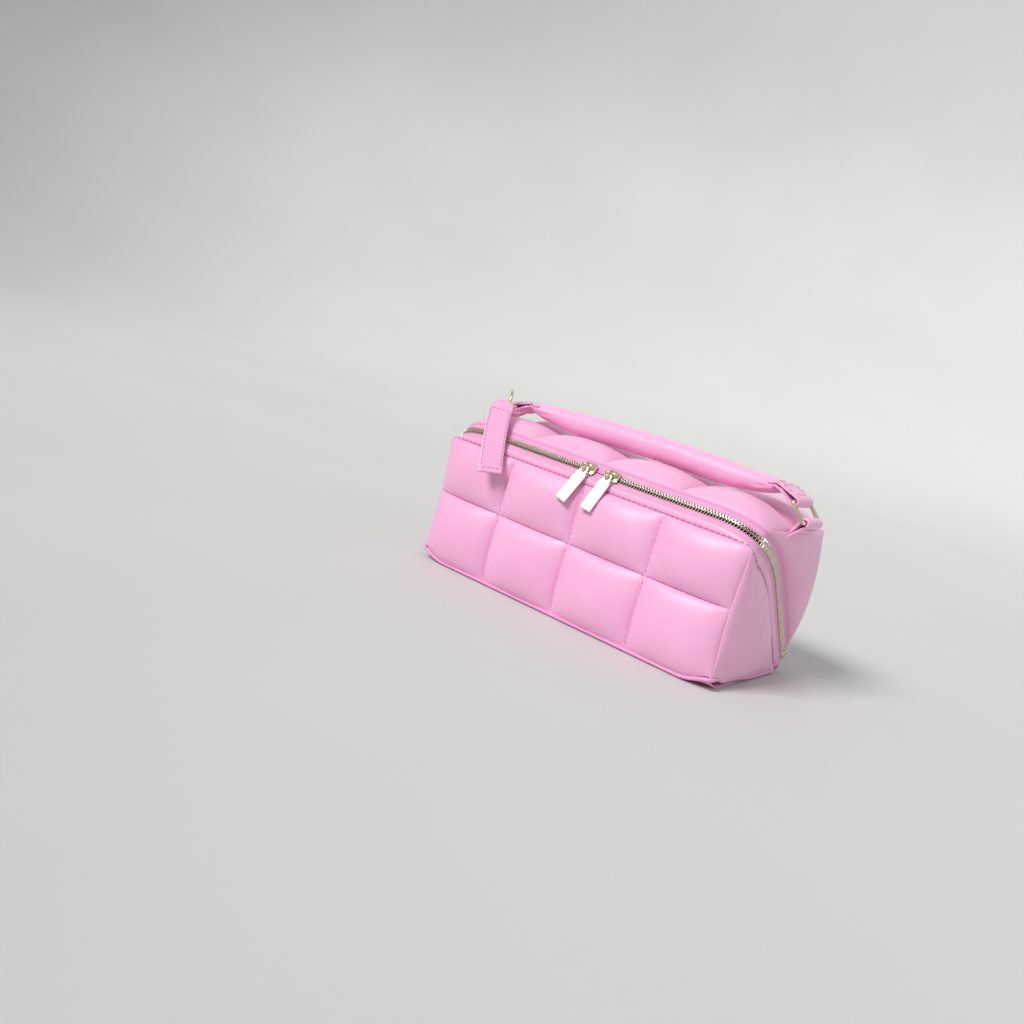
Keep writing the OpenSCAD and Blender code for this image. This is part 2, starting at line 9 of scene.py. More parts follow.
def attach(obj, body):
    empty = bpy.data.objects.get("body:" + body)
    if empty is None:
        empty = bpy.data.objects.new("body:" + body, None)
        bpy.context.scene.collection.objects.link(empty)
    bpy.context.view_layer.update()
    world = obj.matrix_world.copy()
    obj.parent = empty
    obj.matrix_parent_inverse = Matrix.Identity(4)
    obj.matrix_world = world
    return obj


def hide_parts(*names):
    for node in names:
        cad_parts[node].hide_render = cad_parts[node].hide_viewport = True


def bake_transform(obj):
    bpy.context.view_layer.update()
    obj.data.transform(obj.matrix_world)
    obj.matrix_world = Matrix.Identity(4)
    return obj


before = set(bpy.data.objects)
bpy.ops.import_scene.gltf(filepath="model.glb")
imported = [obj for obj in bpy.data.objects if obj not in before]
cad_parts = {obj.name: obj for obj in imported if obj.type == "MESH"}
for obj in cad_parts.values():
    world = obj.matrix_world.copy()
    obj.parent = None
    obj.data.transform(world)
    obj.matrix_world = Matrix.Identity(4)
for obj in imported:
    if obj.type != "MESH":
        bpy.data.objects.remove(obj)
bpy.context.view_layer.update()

# A quilted box makeup bag. Every length below is in millimetres, in the CAD frame:
# +X along the bag, the front faces -Y, and the bag stands on z = 0. Shapes become
# metres when their mesh is made.
MM = 0.001

# ---- Sizes that repeat the CAD ----

HALF_L = 130.0
HALF_D = 58.5
LID_Z = 115.0
FRONT_Z = 98.0
ROW_Z = 55.0
LID_ROW_Y = 4.0
COLUMNS = 4
HINGE_Z = 10.0

ZIP_Y, ZIP_Z = -53.0, 108.0
ZIP_STRAIGHT = 98.0
ZIP_SIDE_X = 129.4
SIDE_SLOPE = math.radians(46.5)
FRONT_SLOPE = math.radians(20)
ARC_R = 115.0
ARC_START_Y = 2.0
ZIP_END_Y, ZIP_END_Z = 57.5, 12.0
CORNER_REACH = 20.0
CORNER_DROP = 8.5
FACING_IN = 13.5
TAPE_HALF = 7.5
BINDING_OUT = 8.6

FALL_START = 90.0
FALL = 7.0

SLIDERS = {"left": -4.0, "right": 16.0}
BRIDGE_N = 6.2
PULL_LEAN = {"left": 14.0, "right": 10.0}

HANDLE_R = 8.75
HANDLE_X = 7.5
HANDLE_HALF = 104.5
ARCH_R = 1600.0
HANDLE_Z = 133.0
STRAP_Z = 135.0
BAR_R = 1.4
SIDE_BAR_Y = 15.0
# Each ring's bars as (distance from the bag's middle, height)
UPPER_BAR = {"right": np.array([128.9, 128.4]), "left": np.array([114.5, 130.0])}
LOWER_BAR = {"right": np.array([139.8, 117.0]), "left": np.array([128.0, 122.0])}
TAB_ROOT = np.array([134.0, 109.4])


# ---- Small tools ----

def unit(v):
    v = np.asarray(v, float)
    return v / np.linalg.norm(v, axis=-1, keepdims=True)


def smooth(t):
    t = np.clip(t, 0, 1)
    return t * t * (3 - 2 * t)


def mix(a, b, t):
    return a + (b - a) * t


def lengths(points):
    """Distance from the first point to each point, along the path."""
    return np.concatenate([[0], np.cumsum(np.linalg.norm(np.diff(points, axis=0), axis=1))])


def corner_arc(here, before, after, reach):
    """Seven points that round a corner. before and after are directions away from it."""
    t = np.linspace(0, 1, 7)[:, None]
    return (1 - t) ** 2 * (here + reach * before) + 2 * (1 - t) * t * here + t * t * (here + reach * after)


def polyline(points, step, ease=0.0):
    """Even samples along straight runs through the points, with corners rounded over ease."""
    points = np.asarray(points, float)
    s = lengths(points)
    fine = np.arange(0, s[-1] + step / 2, step)
    fine[-1] = s[-1]
    out = np.stack([np.interp(fine, s, c) for c in points.T], 1)
    reach = int(round(ease / step))
    if reach:
        ends = np.arange(1, reach + 1)[:, None]
        before = out[0] - ends[::-1] * (out[1] - out[0])
        after = out[-1] + ends * (out[-1] - out[-2])
        padded = np.concatenate([before, out, after])
        window = np.hanning(2 * reach + 3)[1:-1]
        window /= window.sum()
        out = np.stack([np.convolve(c, window, "valid") for c in padded.T], 1)
    return out


def grid_faces(rows, columns, wrap_rows=False, wrap_columns=False):
    """Quads of a grid of points stored row by row."""
    i = np.arange(rows if wrap_rows else rows - 1)
    j = np.arange(columns if wrap_columns else columns - 1)
    i, j = np.meshgrid(i, j, indexing="ij")
    i2, j2 = (i + 1) % rows, (j + 1) % columns
    quads = [i * columns + j, i2 * columns + j, i2 * columns + j2, i * columns + j2]
    return np.stack(quads, -1).reshape(-1, 4)


class Shape:
    """Points in millimetres and the faces between them, gathered into one mesh."""

    def __init__(self):
        self.points, self.faces, self.count = [], [], 0

    def add(self, points, faces):
        points = np.asarray(points, float).reshape(-1, 3)
        self.faces += [tuple(int(k) + self.count for k in f) for f in faces]
        self.points.append(points)
        self.count += len(points)
        return self

    def tube(self, rings, closed=False):
        """A closed skin through rings of points. Open ends get a flat cap."""
        rings = np.asarray(rings, float)
        n, k = rings.shape[:2]
        faces = [tuple(f) for f in grid_faces(n, k, wrap_rows=closed, wrap_columns=True)]
        if not closed:
            faces += [tuple(range(k)), tuple((n - 1) * k + m for m in range(k))]
        return self.add(rings, faces)

    def slab(self, top, bottom):
        """A closed solid between two grids of the same size."""
        n, m = top.shape[:2]
        size = n * m
        quads = grid_faces(n, m)
        faces = [tuple(f) for f in quads] + [tuple(f[::-1] + size) for f in quads]
        rim = [i * m for i in range(n)] + [(n - 1) * m + j for j in range(1, m)]
        rim += [i * m + m - 1 for i in range(n - 2, -1, -1)] + [j for j in range(m - 2, 0, -1)]
        for a, b in zip(rim, rim[1:] + rim[:1]):
            faces.append((a, b, b + size, a + size))
        return self.add(np.concatenate([top.reshape(-1, 3), bottom.reshape(-1, 3)]), faces)

    def mirrored(self):
        """The same shape on the other end of the bag."""
        twin = Shape()
        twin.points = [p * (-1, 1, 1) for p in self.points]
        twin.faces, twin.count = list(self.faces), self.count
        return twin

    def mesh(self, name, look):
        mesh = bpy.data.meshes.new(name)
        mesh.from_pydata((np.concatenate(self.points) * MM).tolist(), [], self.faces)
        work = bmesh.new()
        work.from_mesh(mesh)
        bmesh.ops.recalc_face_normals(work, faces=work.faces)
        work.to_mesh(mesh)
        work.free()
        mesh.polygons.foreach_set("use_smooth", [True] * len(mesh.polygons))
        mesh.materials.append(look)
        obj = bpy.data.objects.new(name, mesh)
        bpy.context.scene.collection.objects.link(obj)
        return obj


def piece(name, shape, look, body, replaces=(), sharp=None):
    """Makes the object of a shape that rides on one body."""
    obj = shape.mesh(name, look)
    if sharp is not None:
        obj.data.set_sharp_from_angle(angle=math.radians(sharp))
    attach(obj, body)
    if replaces:
        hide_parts(*replaces)
    return obj


def ring_section(along, side, half_w, half_t, corners=16, square=3.0):
    """Rings round a path: rounded rectangles, half_w along side and half_t square to it."""
    n = len(along)
    tangent = unit(np.gradient(along, axis=0))
    side = np.broadcast_to(side, along.shape)
    side = unit(side - (side * tangent).sum(1, keepdims=True) * tangent)
    up = np.cross(tangent, side)
    a = np.linspace(0, 2 * math.pi, corners, endpoint=False) + math.pi / corners
    c, s = np.cos(a), np.sin(a)
    c, s = np.sign(c) * np.abs(c) ** (2 / square), np.sign(s) * np.abs(s) ** (2 / square)
    half_w = np.broadcast_to(half_w, n)[:, None, None]
    half_t = np.broadcast_to(half_t, n)[:, None, None]
    wide = half_w * c[None, :, None] * side[:, None]
    tall = half_t * s[None, :, None] * up[:, None]
    return along[:, None] + wide + tall


def round_wire(along, radius, closed=False, corners=14, side=(0, 0, 1)):
    """Round rings along a path that lies in a plane square to side."""
    if closed:
        tangent = unit(np.roll(along, -1, 0) - np.roll(along, 1, 0))
    else:
        tangent = unit(np.gradient(along, axis=0))
    side = np.broadcast_to(np.asarray(side, float), along.shape)
    side = unit(side - (side * tangent).sum(1, keepdims=True) * tangent)
    up = np.cross(tangent, side)
    a = np.linspace(0, 2 * math.pi, corners, endpoint=False)[None, :, None]
    radius = np.broadcast_to(radius, len(along))[:, None, None]
    return along[:, None] + radius * (np.cos(a) * side[:, None] + np.sin(a) * up[:, None])


# ---- Materials ----

def srgb(r, g, b):
    """A colour given as on a screen, 0 to 255, in linear light."""
    c = np.array([r, g, b]) / 255
    c = np.where(c <= 0.04045, c / 12.92, ((c + 0.055) / 1.055) ** 2.4)
    return (*[float(x) for x in c], 1.0)


def new_look(name, **sockets):
    look = bpy.data.materials.new(name)
    look.use_nodes = True
    shader = look.node_tree.nodes["Principled BSDF"]
    for socket, value in sockets.items():
        shader.inputs[socket.replace("_", " ")].default_value = value
    return look, look.node_tree, shader


def noise(tree, scale, detail=2.0, rough=0.5, vector=None):
    node = tree.nodes.new("ShaderNodeTexNoise")
    node.inputs["Scale"].default_value = scale
    node.inputs["Detail"].default_value = detail
    node.inputs["Roughness"].default_value = rough
    if vector is None:
        vector = tree.nodes.new("ShaderNodeTexCoord").outputs["Object"]
    tree.links.new(vector, node.inputs["Vector"])
    return node.outputs["Fac"]


def ramp(tree, value, low, high, at=(0.3, 0.7)):
    node = tree.nodes.new("ShaderNodeValToRGB")
    node.color_ramp.elements[0].position, node.color_ramp.elements[1].position = at
    node.color_ramp.elements[0].color = low
    node.color_ramp.elements[1].color = high
    tree.links.new(value, node.inputs["Fac"])
    return node.outputs["Color"]


def bump(tree, height, strength, distance, normal=None):
    node = tree.nodes.new("ShaderNodeBump")
    node.inputs["Strength"].default_value = strength
    node.inputs["Distance"].default_value = distance
    tree.links.new(height, node.inputs["Height"])
    if normal is not None:
        tree.links.new(normal, node.inputs["Normal"])
    return node.outputs["Normal"]


def grey(v):
    return (v, v, v, 1.0)


def leather_look(name, light, deep, rough=(0.40, 0.52), grain=0.22):
    """Smooth nappa: fine pebbled grain, slow changes of colour and gloss."""
    look, tree, shader = new_look(
        name, Coat_Weight=0.18, Coat_Roughness=0.38, Sheen_Weight=0.15, Sheen_Roughness=0.6
    )
    place = tree.nodes.new("ShaderNodeTexCoord").outputs["Object"]
    slow = noise(tree, 28, 3, 0.55, place)
    tree.links.new(ramp(tree, slow, deep, light), shader.inputs["Base Color"])
    tree.links.new(ramp(tree, noise(tree, 160, 2, 0.5, place), grey(rough[0]), grey(rough[1])),
                   shader.inputs["Roughness"])
    cells = tree.nodes.new("ShaderNodeTexVoronoi")
    cells.feature = "DISTANCE_TO_EDGE"
    cells.inputs["Scale"].default_value = 1500
    tree.links.new(place, cells.inputs["Vector"])
    soft = bump(tree, noise(tree, 420, 3, 0.6, place), 0.12, 0.0003)
    normal = bump(tree, cells.outputs["Distance"], grain, 0.00006, soft)
    tree.links.new(normal, shader.inputs["Normal"])
    return look


def cloth_look(name, light, deep, pitch=0.0009, depth=0.35, sheen=0.25):
    """A plain weave drawn by two crossed sets of ribs."""
    look, tree, shader = new_look(name, Roughness=0.82, Sheen_Weight=sheen, Sheen_Roughness=0.5)
    place = tree.nodes.new("ShaderNodeTexCoord").outputs["Object"]
    total = None
    for direction, profile in (("X", "SIN"), ("Z", "SIN"), ("Y", "SIN")):
        rib = tree.nodes.new("ShaderNodeTexWave")
        rib.bands_direction, rib.wave_profile = direction, profile
        rib.inputs["Scale"].default_value = 0.314 / pitch
        rib.inputs["Distortion"].default_value = 0.4
        tree.links.new(place, rib.inputs["Vector"])
        if total is None:
            total = rib.outputs["Fac"]
        else:
            add = tree.nodes.new("ShaderNodeMath")
            add.operation = "ADD"
            tree.links.new(total, add.inputs[0])
            tree.links.new(rib.outputs["Fac"], add.inputs[1])
            total = add.outputs[0]
    tree.links.new(ramp(tree, noise(tree, 60, 3, 0.6, place), deep, light), shader.inputs["Base Color"])
    tree.links.new(bump(tree, total, depth, 0.00012), shader.inputs["Normal"])
    return look


def metal_look(name, light, deep, rough=(0.16, 0.28)):
    look, tree, shader = new_look(name, Metallic=1.0)
    place = tree.nodes.new("ShaderNodeTexCoord").outputs["Object"]
    tree.links.new(ramp(tree, noise(tree, 220, 3, 0.6, place), deep, light), shader.inputs["Base Color"])
    tree.links.new(ramp(tree, noise(tree, 500, 4, 0.6, place), grey(rough[0]), grey(rough[1])),
                   shader.inputs["Roughness"])
    tree.links.new(bump(tree, noise(tree, 900, 2, 0.5, place), 0.05, 0.00005), shader.inputs["Normal"])
    return look


PINK = leather_look("pink_leather", srgb(244, 178, 217), srgb(240, 170, 211))
TRIM = leather_look("trim_leather", srgb(236, 158, 206), srgb(231, 150, 199))
THREAD = cloth_look("thread", srgb(206, 132, 178), srgb(190, 116, 164), 0.0004, 0.5)
TAPE = cloth_look("zip_tape", srgb(236, 170, 210), srgb(226, 158, 200), 0.0008, 0.6)
LINING = cloth_look("lining_cloth", srgb(226, 176, 202), srgb(214, 162, 190), 0.0007, 0.3)
GOLD = metal_look("pale_gold", srgb(240, 226, 202), srgb(232, 216, 190))
PULL = metal_look("pull_metal", srgb(252, 246, 228), srgb(248, 240, 220), (0.34, 0.42))
TEETH = metal_look("zip_metal", srgb(244, 232, 220), srgb(226, 212, 198), (0.26, 0.36))


# ---- The zip's route ----

FRONT_OUT = unit([0, ZIP_Y - HALF_D, ZIP_Z - HINGE_Z])


def side_point(a):
    """Point of the route on the right end wall where it slopes down by angle a."""
    top_z = ZIP_END_Z + (ZIP_END_Y - ARC_START_Y) * math.tan(SIDE_SLOPE)
    y = ARC_START_Y - ARC_R * (math.sin(SIDE_SLOPE) - np.sin(a))
    z = top_z + ARC_R * (np.cos(a) - math.cos(SIDE_SLOPE))
    return np.stack([np.full_like(y, ZIP_SIDE_X), y, z], -1)


def right_route():
    """Points and outward directions from the middle of the front to the right rear end."""
    front = np.stack([np.linspace(0, ZIP_STRAIGHT, 100), np.full(100, ZIP_Y), np.full(100, ZIP_Z)], -1)
    t = np.linspace(0, 1, 120)[1:, None]
    end = side_point(np.array([FRONT_SLOPE]))[0]
    start = front[-1]
    lead = start + (CORNER_REACH, 0, 0)
    follow = end - CORNER_DROP * np.array([0, math.cos(FRONT_SLOPE), -math.sin(FRONT_SLOPE)])
    near, far = (1 - t) ** 3 * start, t ** 3 * end
    corner = near + 3 * (1 - t) ** 2 * t * lead + 3 * (1 - t) * t * t * follow + far
    arc = side_point(np.linspace(FRONT_SLOPE, SIDE_SLOPE, 80)[1:])
    tail = mix(arc[-1], np.array([ZIP_SIDE_X, ZIP_END_Y, ZIP_END_Z]), np.linspace(0, 1, 100)[1:, None])
    points = np.concatenate([front, corner, arc, tail])
    turn = np.concatenate([np.zeros(100), t[:, 0], np.ones(len(arc) + len(tail))])[:, None]
    outward = unit(mix(FRONT_OUT, np.array([1.0, 0, 0]), turn))
    return points, outward, len(front) - 1, len(front) + len(corner) - 1


half_points, half_out, start_i, end_i = right_route()
half_s = lengths(half_points)
ROUTE_HALF = half_s[-1]
S_CORNER = half_s[start_i]
S_SIDE = half_s[end_i]
route_s = np.concatenate([-half_s[:0:-1], half_s])
route_p = np.concatenate([half_points[:0:-1] * (-1, 1, 1), half_points])
route_n = np.concatenate([half_out[:0:-1] * (-1, 1, 1), half_out])


def follow(s, values):
    return np.stack([np.interp(s, route_s, c) for c in values.T], -1)


def route_axes(s):
    """Point, along, across (towards the lid) and outward at distances s from the middle."""
    point = follow(s, route_p)
    along = unit(follow(np.asarray(s) + 0.5, route_p) - follow(np.asarray(s) - 0.5, route_p))
    across = unit(np.cross(follow(s, route_n), along))
    return point, along, across, unit(np.cross(along, across))


def at_zip(s, across, out):
    point, _, sideways, outward = route_axes(s)
    across = np.broadcast_to(across, np.shape(s))[..., None]
    out = np.broadcast_to(out, np.shape(s))[..., None]
    return point + across * sideways + out * outward


def tucked(points, along):
    """Keeps the zip's rear ends in front of the back panel's plane."""
    limit = HALF_D - 0.5
    over = np.maximum(points[..., 1] - limit, 0) / np.maximum(np.abs(along[..., 1]), 0.2)
    return points - np.sign(along[..., 1:2]) * along * over[..., None]


# The facing's lower seam: along the top of the front panel, round the corner, then
# down the end wall at an even distance from the zip
CORNER_TOP = np.array([HALF_L, -HALF_D + 0.8, 95.6])


def low_seam_points():
    s = np.arange(S_SIDE + 4, ROUTE_HALF + 0.01, 2.0)
    side = at_zip(s, -FACING_IN, -0.6)
    line = np.concatenate([
        [[0, -HALF_D, FRONT_Z], [114, -HALF_D, FRONT_Z], [126, -HALF_D, 97.2]],
        [CORNER_TOP, [HALF_L, -52.5, 91.5]], side])
    return polyline(line, 0.5, 2.5)


low_line = low_seam_points()
corner_i = int(np.argmin(np.linalg.norm(low_line - CORNER_TOP, axis=1)))


# ---- Quilted panels ----

def cell_lines(edges, per_cell, pull=0.115):
    """Grid lines through the cells, closer together at the seams, with the place in the cell."""
    t = np.arange(per_cell) / per_cell
    t = t - pull * np.sin(2 * math.pi * t)
    lines, inside = [], []
    for low, high in zip(edges, edges[1:]):
        lines.append(mix(low, high, t))
        inside.append(2 * t - 1)
    lines.append([edges[-1]])
    inside.append([1.0])
    return np.concatenate(lines), np.concatenate(inside)


def dome(a, power, ease=1.0):
    """1 where a is 0, and 0 where a is 1 or -1."""
    return np.clip(1 - np.abs(a) ** power, 0, 1) ** ease


def puff(u, v, plump=0.55, power=2.1):
    """Height of a stuffed square, 0 on its seams and 1 in the middle."""
    return (dome(u[:, None], power) * dome(v[None], power)) ** plump


def slow_waves(a, b, seed, reach, count=7):
    """Gentle unevenness with waves about reach long."""
    draw = np.random.default_rng(seed)
    total = np.zeros_like(a)
    for _ in range(count):
        angle, phase = draw.uniform(0, math.pi), draw.uniform(0, 2 * math.pi)
        k = 2 * math.pi / (reach * draw.uniform(0.7, 1.5))
        total += np.sin(k * (a * math.cos(angle) + b * math.sin(angle)) + phase)
    return total / count ** 0.5


def creases(a, b, seams, seed, spacing=9.0, depth=0.5):
    """Short gathers that run from the seams into the squares. seams holds
    (fixed axis, its value, low, high) in the plane of a and b."""
    draw = np.random.default_rng(seed)
    total = np.zeros_like(a)
    for axis, value, low, high in seams:
        across, along = (a, b) if axis == 0 else (b, a)
        for centre in np.arange(low + spacing / 2, high, spacing):
            for side in (-1, 1):
                place = centre + draw.uniform(-0.35, 0.35) * spacing
                reach = draw.uniform(5, 15)
                slant = draw.uniform(-0.5, 0.5)
                width = draw.uniform(1.1, 2.2)
                deep = depth * draw.uniform(0.2, 1.0)
                into = side * (across - value)
                off = (along - place - slant * into) / width
                fade = smooth(into / 1.2) * (1 - smooth(into / reach))
                total -= deep * np.exp(-off * off) * fade
    return total


def column_edges():
    return np.linspace(-HALF_L, HALF_L, COLUMNS + 1)


def square_heights(x, rows, typical, seed):
    """How high each square is stuffed, at every point of a panel two squares high."""
    draw = np.random.default_rng(seed)
    plump = typical + draw.uniform(-0.5, 0.5, (COLUMNS, 2))
    column = np.clip(((x + HALF_L) / (2 * HALF_L) * COLUMNS).astype(int), 0, COLUMNS - 1)
    row = (rows[None] >= 0.5).astype(int) + np.zeros_like(column)
    return plump[column, row]


def gathers(a, b, stuffing, seams, seed, depth):
    """Gathers at the seams and slow unevenness, on top of the stuffing."""
    pulled = depth * creases(a, b, seams, seed) * (0.3 + 0.7 * stuffing ** 0.5)
    return pulled + 0.16 * slow_waves(a, b, seed + 1, 30) * stuffing


def quilt_seams(column_span, row_seams):
    """The seams of a panel, as creases() takes them."""
    return [(0, edge, *column_span) for edge in column_edges()] + [(1, *seam) for seam in row_seams]


CORNER_LIFT = 6.0
# The front corner seams stand this far behind the front, and the padding pulls them in
CORNER_BACK = 0.8
CORNER_PINCH = 2.6


def corner_lift(x):
    """How far the bottom edge rises at the bag's rounded lower corners."""
    return CORNER_LIFT * smooth((np.abs(x) - 104) / 26) ** 1.6


def front_base(z):
    """Height share between the bottom edge and the top seam, for the pinch of the corners."""
    return np.clip((z - 6) / (CORNER_TOP[2] - 6), 0, 1)


def corner_seam(z):
    """The upright seam at the right front corner, which the padding pulls inwards."""
    pinch = np.sin(math.pi * front_base(z))
    return np.stack([HALF_L - CORNER_PINCH * pinch, -HALF_D + CORNER_BACK + pinch, z], -1)


PANEL_T = 2.4
# Mesh cells across one square of the quilting
PER_SQUARE = 26
BACK_PER_ROW = 24


def padded_piece(name, shape, body, nodes):
    piece(name, shape, PINK, body, nodes)


def front_panel():
    """The front, quilted in squares, from the bottom edge up to the facing's seam."""
    x, u = cell_lines(column_edges(), PER_SQUARE)
    rows, v = cell_lines([0, 0.5, 1], PER_SQUARE)
    top_line = low_line[: corner_i + 1]
    top_x = np.abs(x) / HALF_L * top_line[-1, 0]
    top_y = np.interp(top_x, top_line[:, 0], top_line[:, 1])
    top_z = np.interp(top_x, top_line[:, 0], top_line[:, 2])
    bottom_z = 2.6 + corner_lift(x)
    z = np.where(rows[None] <= 0.5, mix(bottom_z[:, None], ROW_Z, rows[None] * 2),
                 mix(ROW_Z, top_z[:, None], rows[None] * 2 - 1))
    X = np.broadcast_to(x[:, None], z.shape).copy()
    near_corner = (np.abs(X) / HALF_L) ** 6
    pinch = np.sin(math.pi * front_base(z))
    Y = mix(-HALF_D, top_y[:, None], rows[None] ** 8) + near_corner * (CORNER_BACK + pinch)
    belly = 2.4 * dome(X / HALF_L, 4) * dome(2 * (z - 50) / FRONT_Z, 4)
    stuffing = puff(u, v)
    height = square_heights(X, rows, 8.6, 4) * stuffing + belly
    seams = quilt_seams((5, 96), [(ROW_Z, -128, 128), (97.5, -120, 120), (3, -120, 120)])
    height += gathers(X, z, stuffing, seams, 11, 1.5)
    X = X - np.sign(X) * near_corner * CORNER_PINCH * pinch
    outer = np.stack([X, Y - height, z], -1)
    inner = np.stack([X, Y - belly * 0.6 + PANEL_T, z], -1)
    nodes = ["front_panel", "front_padding"]
    padded_piece("quilted_front", Shape().slab(outer, inner), "base", nodes)
    return outer


def stitch_run(shape, path, normal, length=3.1, gap=1.2, radius=0.33, lift=0.12, skip=0.8):
    """Sewn stitches along a path: short rounded bars that dip into the leather at both ends.
    normal is one direction, or one for each point of the path."""
    normal = np.broadcast_to(np.asarray(normal, float), path.shape)
    s = lengths(path)
    starts = np.arange(skip, s[-1] - length - skip, length + gap)
    t = np.array([0, 0.12, 0.3, 0.7, 0.88, 1.0])
    dip = np.array([-0.42, 0.0, 0.10, 0.10, 0.0, -0.42]) + lift
    size = np.array([0.35, 0.8, 1.0, 1.0, 0.8, 0.35]) * radius
    for start in starts:
        here = start + t * length
        line = np.stack([np.interp(here, s, c) for c in path.T], -1)
        up = unit(np.stack([np.interp(here, s, c) for c in normal.T], -1))
        line = line + dip[:, None] * up
        along = unit(np.gradient(line, axis=0))
        side = unit(np.cross(along, up))
        up = np.cross(side, along)
        a = np.linspace(0, 2 * math.pi, 7, endpoint=False)[None, :, None]
        rings = line[:, None] + size[:, None, None] * (np.cos(a) * side[:, None] + np.sin(a) * up[:, None])
        shape.tube(rings)


def quilt_stitches(shape, grid, per_row, outward):
    """Sews a panel's middle row seam and then its inner column seams."""
    run = grid[4:-4, per_row]
    stitch_run(shape, run, outward, lift=0.3)
    for k in range(1, COLUMNS):
        for low, high in ((3, per_row - 2), (per_row + 2, 2 * per_row - 3)):
            run = grid[k * PER_SQUARE, low:high]
            stitch_run(shape, run, outward, lift=0.1)


def surface_normals(grid, outward):
    n = np.cross(np.gradient(grid, axis=0), np.gradient(grid, axis=1))
    n = unit(n)
    flip = np.sign((n * outward).sum(-1, keepdims=True))
    return n * np.where(flip == 0, 1, flip)


front = front_panel()
front_stitches = Shape()
quilt_stitches(front_stitches, front, PER_SQUARE, (0, -1, 0))
piece("front_stitches", front_stitches, THREAD, "base")


# ---- End walls ----

def eased_steps(count):
    """Steps from 0 to 1 that are closer together at both ends."""
    t = np.linspace(0, 1, count)
    return mix(t, 0.5 - 0.5 * np.cos(math.pi * t), 0.6)


def wall_grid(low, high, rows):
    """Points between two edges of the same length, with the height share of each row."""
    t = eased_steps(rows)
    return low[:, None] + (high - low)[:, None] * t[None, :, None], t


def base_side():
    """The lower end wall: plain leather over padding, between the corner seam, the
    bottom edge and the facing's stitched seam."""
    top = low_line[corner_i:]
    columns = 70
    s = lengths(top)
    top = np.stack([np.interp(eased_steps(columns) * s[-1], s, c) for c in top.T], -1)
    share = (top[:, 1] - top[0, 1]) / (top[-1, 1] - top[0, 1])
    bottom_y = mix(-HALF_D + CORNER_BACK, 50.0, share)
    bottom_z = 2.8 + (CORNER_LIFT - 0.2) * (1 - smooth(share * 4)) ** 1.6
    bottom = np.stack([np.full(columns, HALF_L - 0.2), bottom_y, np.minimum(bottom_z, top[:, 2] - 0.4)], -1)
    grid, v = wall_grid(bottom, top, 48)
    pinch = corner_seam(grid[0, :, 2]) - grid[0]
    grid = grid + pinch[None] * ((1 - share) ** 8)[:, None, None]
    height = (grid[:, -1, 2] - grid[:, 0, 2])[:, None]
    swell = dome(2 * share[:, None] - 1, 2.2, 0.55) * dome(2 * v[None] - 1, 2.4, 0.55)
    bulge = 7.4 * swell * np.clip(height / 62, 0, 1) ** 0.8
    y, z = grid[..., 1], grid[..., 2]
    seams = [(0, -HALF_D, 8, 92), (1, 3, -50, 40)]
    bulge = bulge + creases(y, z, seams, 31, 12, 0.45) * swell ** 0.5
    bulge = bulge + 0.35 * slow_waves(y, z, 32, 55) * swell
    return Shape().slab(grid + bulge[..., None] * (1, 0, 0), grid - (PANEL_T, 0, 0))


def both_walls(name, node, shape, body):
    """Makes a wall of the right end and its mirror image on the left."""
    for which, form in (("right", shape), ("left", shape.mirrored())):
        nodes = [f"{node}_{which}", f"{node}_padding_{which}"]
        padded_piece(f"{name}_{which}", form, body, nodes)


both_walls("end_wall_lower", "base_side", base_side(), "base")


def fall_z(x):
    """Height of the lid's top seams, which drop towards both ends."""
    reach = HALF_L - FALL_START
    r = (reach * reach + FALL * FALL) / (2 * FALL)
    over = np.maximum(np.abs(x) - FALL_START, 0)
    return LID_Z - r + np.sqrt(r * r - over * over)


def lid_edge(s):
    return tucked(at_zip(s, BINDING_OUT, 0.3), route_axes(s)[1])


def lid_front_edge(x):
    """The lid's front seam, on the binding, at distances x from the middle."""
    s = np.linspace(0, S_SIDE, 400)
    edge = lid_edge(s)
    far = edge[-1, 0]
    place = np.interp(np.abs(x) / HALF_L * far, np.maximum.accumulate(edge[:, 0]) + np.arange(400) * 1e-6, s)
    point = lid_edge(place)
    point[..., 0] *= np.sign(x)
    return point


def lid_top():
    """The lid's top, quilted in squares, from the binding to the rear seam."""
    x, u = cell_lines(column_edges(), PER_SQUARE)
    rows, v = cell_lines([0, 0.5, 1], PER_SQUARE)
    edge = lid_front_edge(x)
    back_z = fall_z(x)
    half_low, half_high = rows[None] * 2, rows[None] * 2 - 1
    Y = np.where(rows[None] <= 0.5, mix(edge[:, 1:2], LID_ROW_Y, half_low), mix(LID_ROW_Y, HALF_D, half_high))
    X = mix(edge[:, 0:1], x[:, None], smooth(rows[None] * 3))
    Z = mix(edge[:, 2:3], back_z[:, None], smooth(rows[None] * 2.2))
    stuffing = puff(u, v, 0.62)
    belly = 1.6 * dome(X / HALF_L, 4) * dome(2 * rows[None] - 1, 4)
    height = square_heights(X, rows, 8.4, 8) * stuffing + belly
    seams = quilt_seams((-44, 56), [(LID_ROW_Y, -128, 128), (-46, -115, 115), (HALF_D, -128, 128)])
    height += gathers(X, Y, stuffing, seams, 21, 1.5)
    lean = 0.22 * np.sign(X) * smooth((np.abs(X) - FALL_START) / 40)
    outer = np.stack([X + lean * height, Y, Z + height], -1)
    inner = np.stack([X, Y, Z + belly * 0.6 - PANEL_T], -1)
    nodes = ["lid_top_panel", "lid_top_padding"]
    padded_piece("quilted_lid", Shape().slab(outer, inner), "lid", nodes)
    return outer


# How far the padding pushes the rear corner seams out, at half height
REAR_BOW = (2.2, 3.2)


def rear_bow(z):
    return np.sin(math.pi * np.clip((z - 14) / 92, 0, 1))


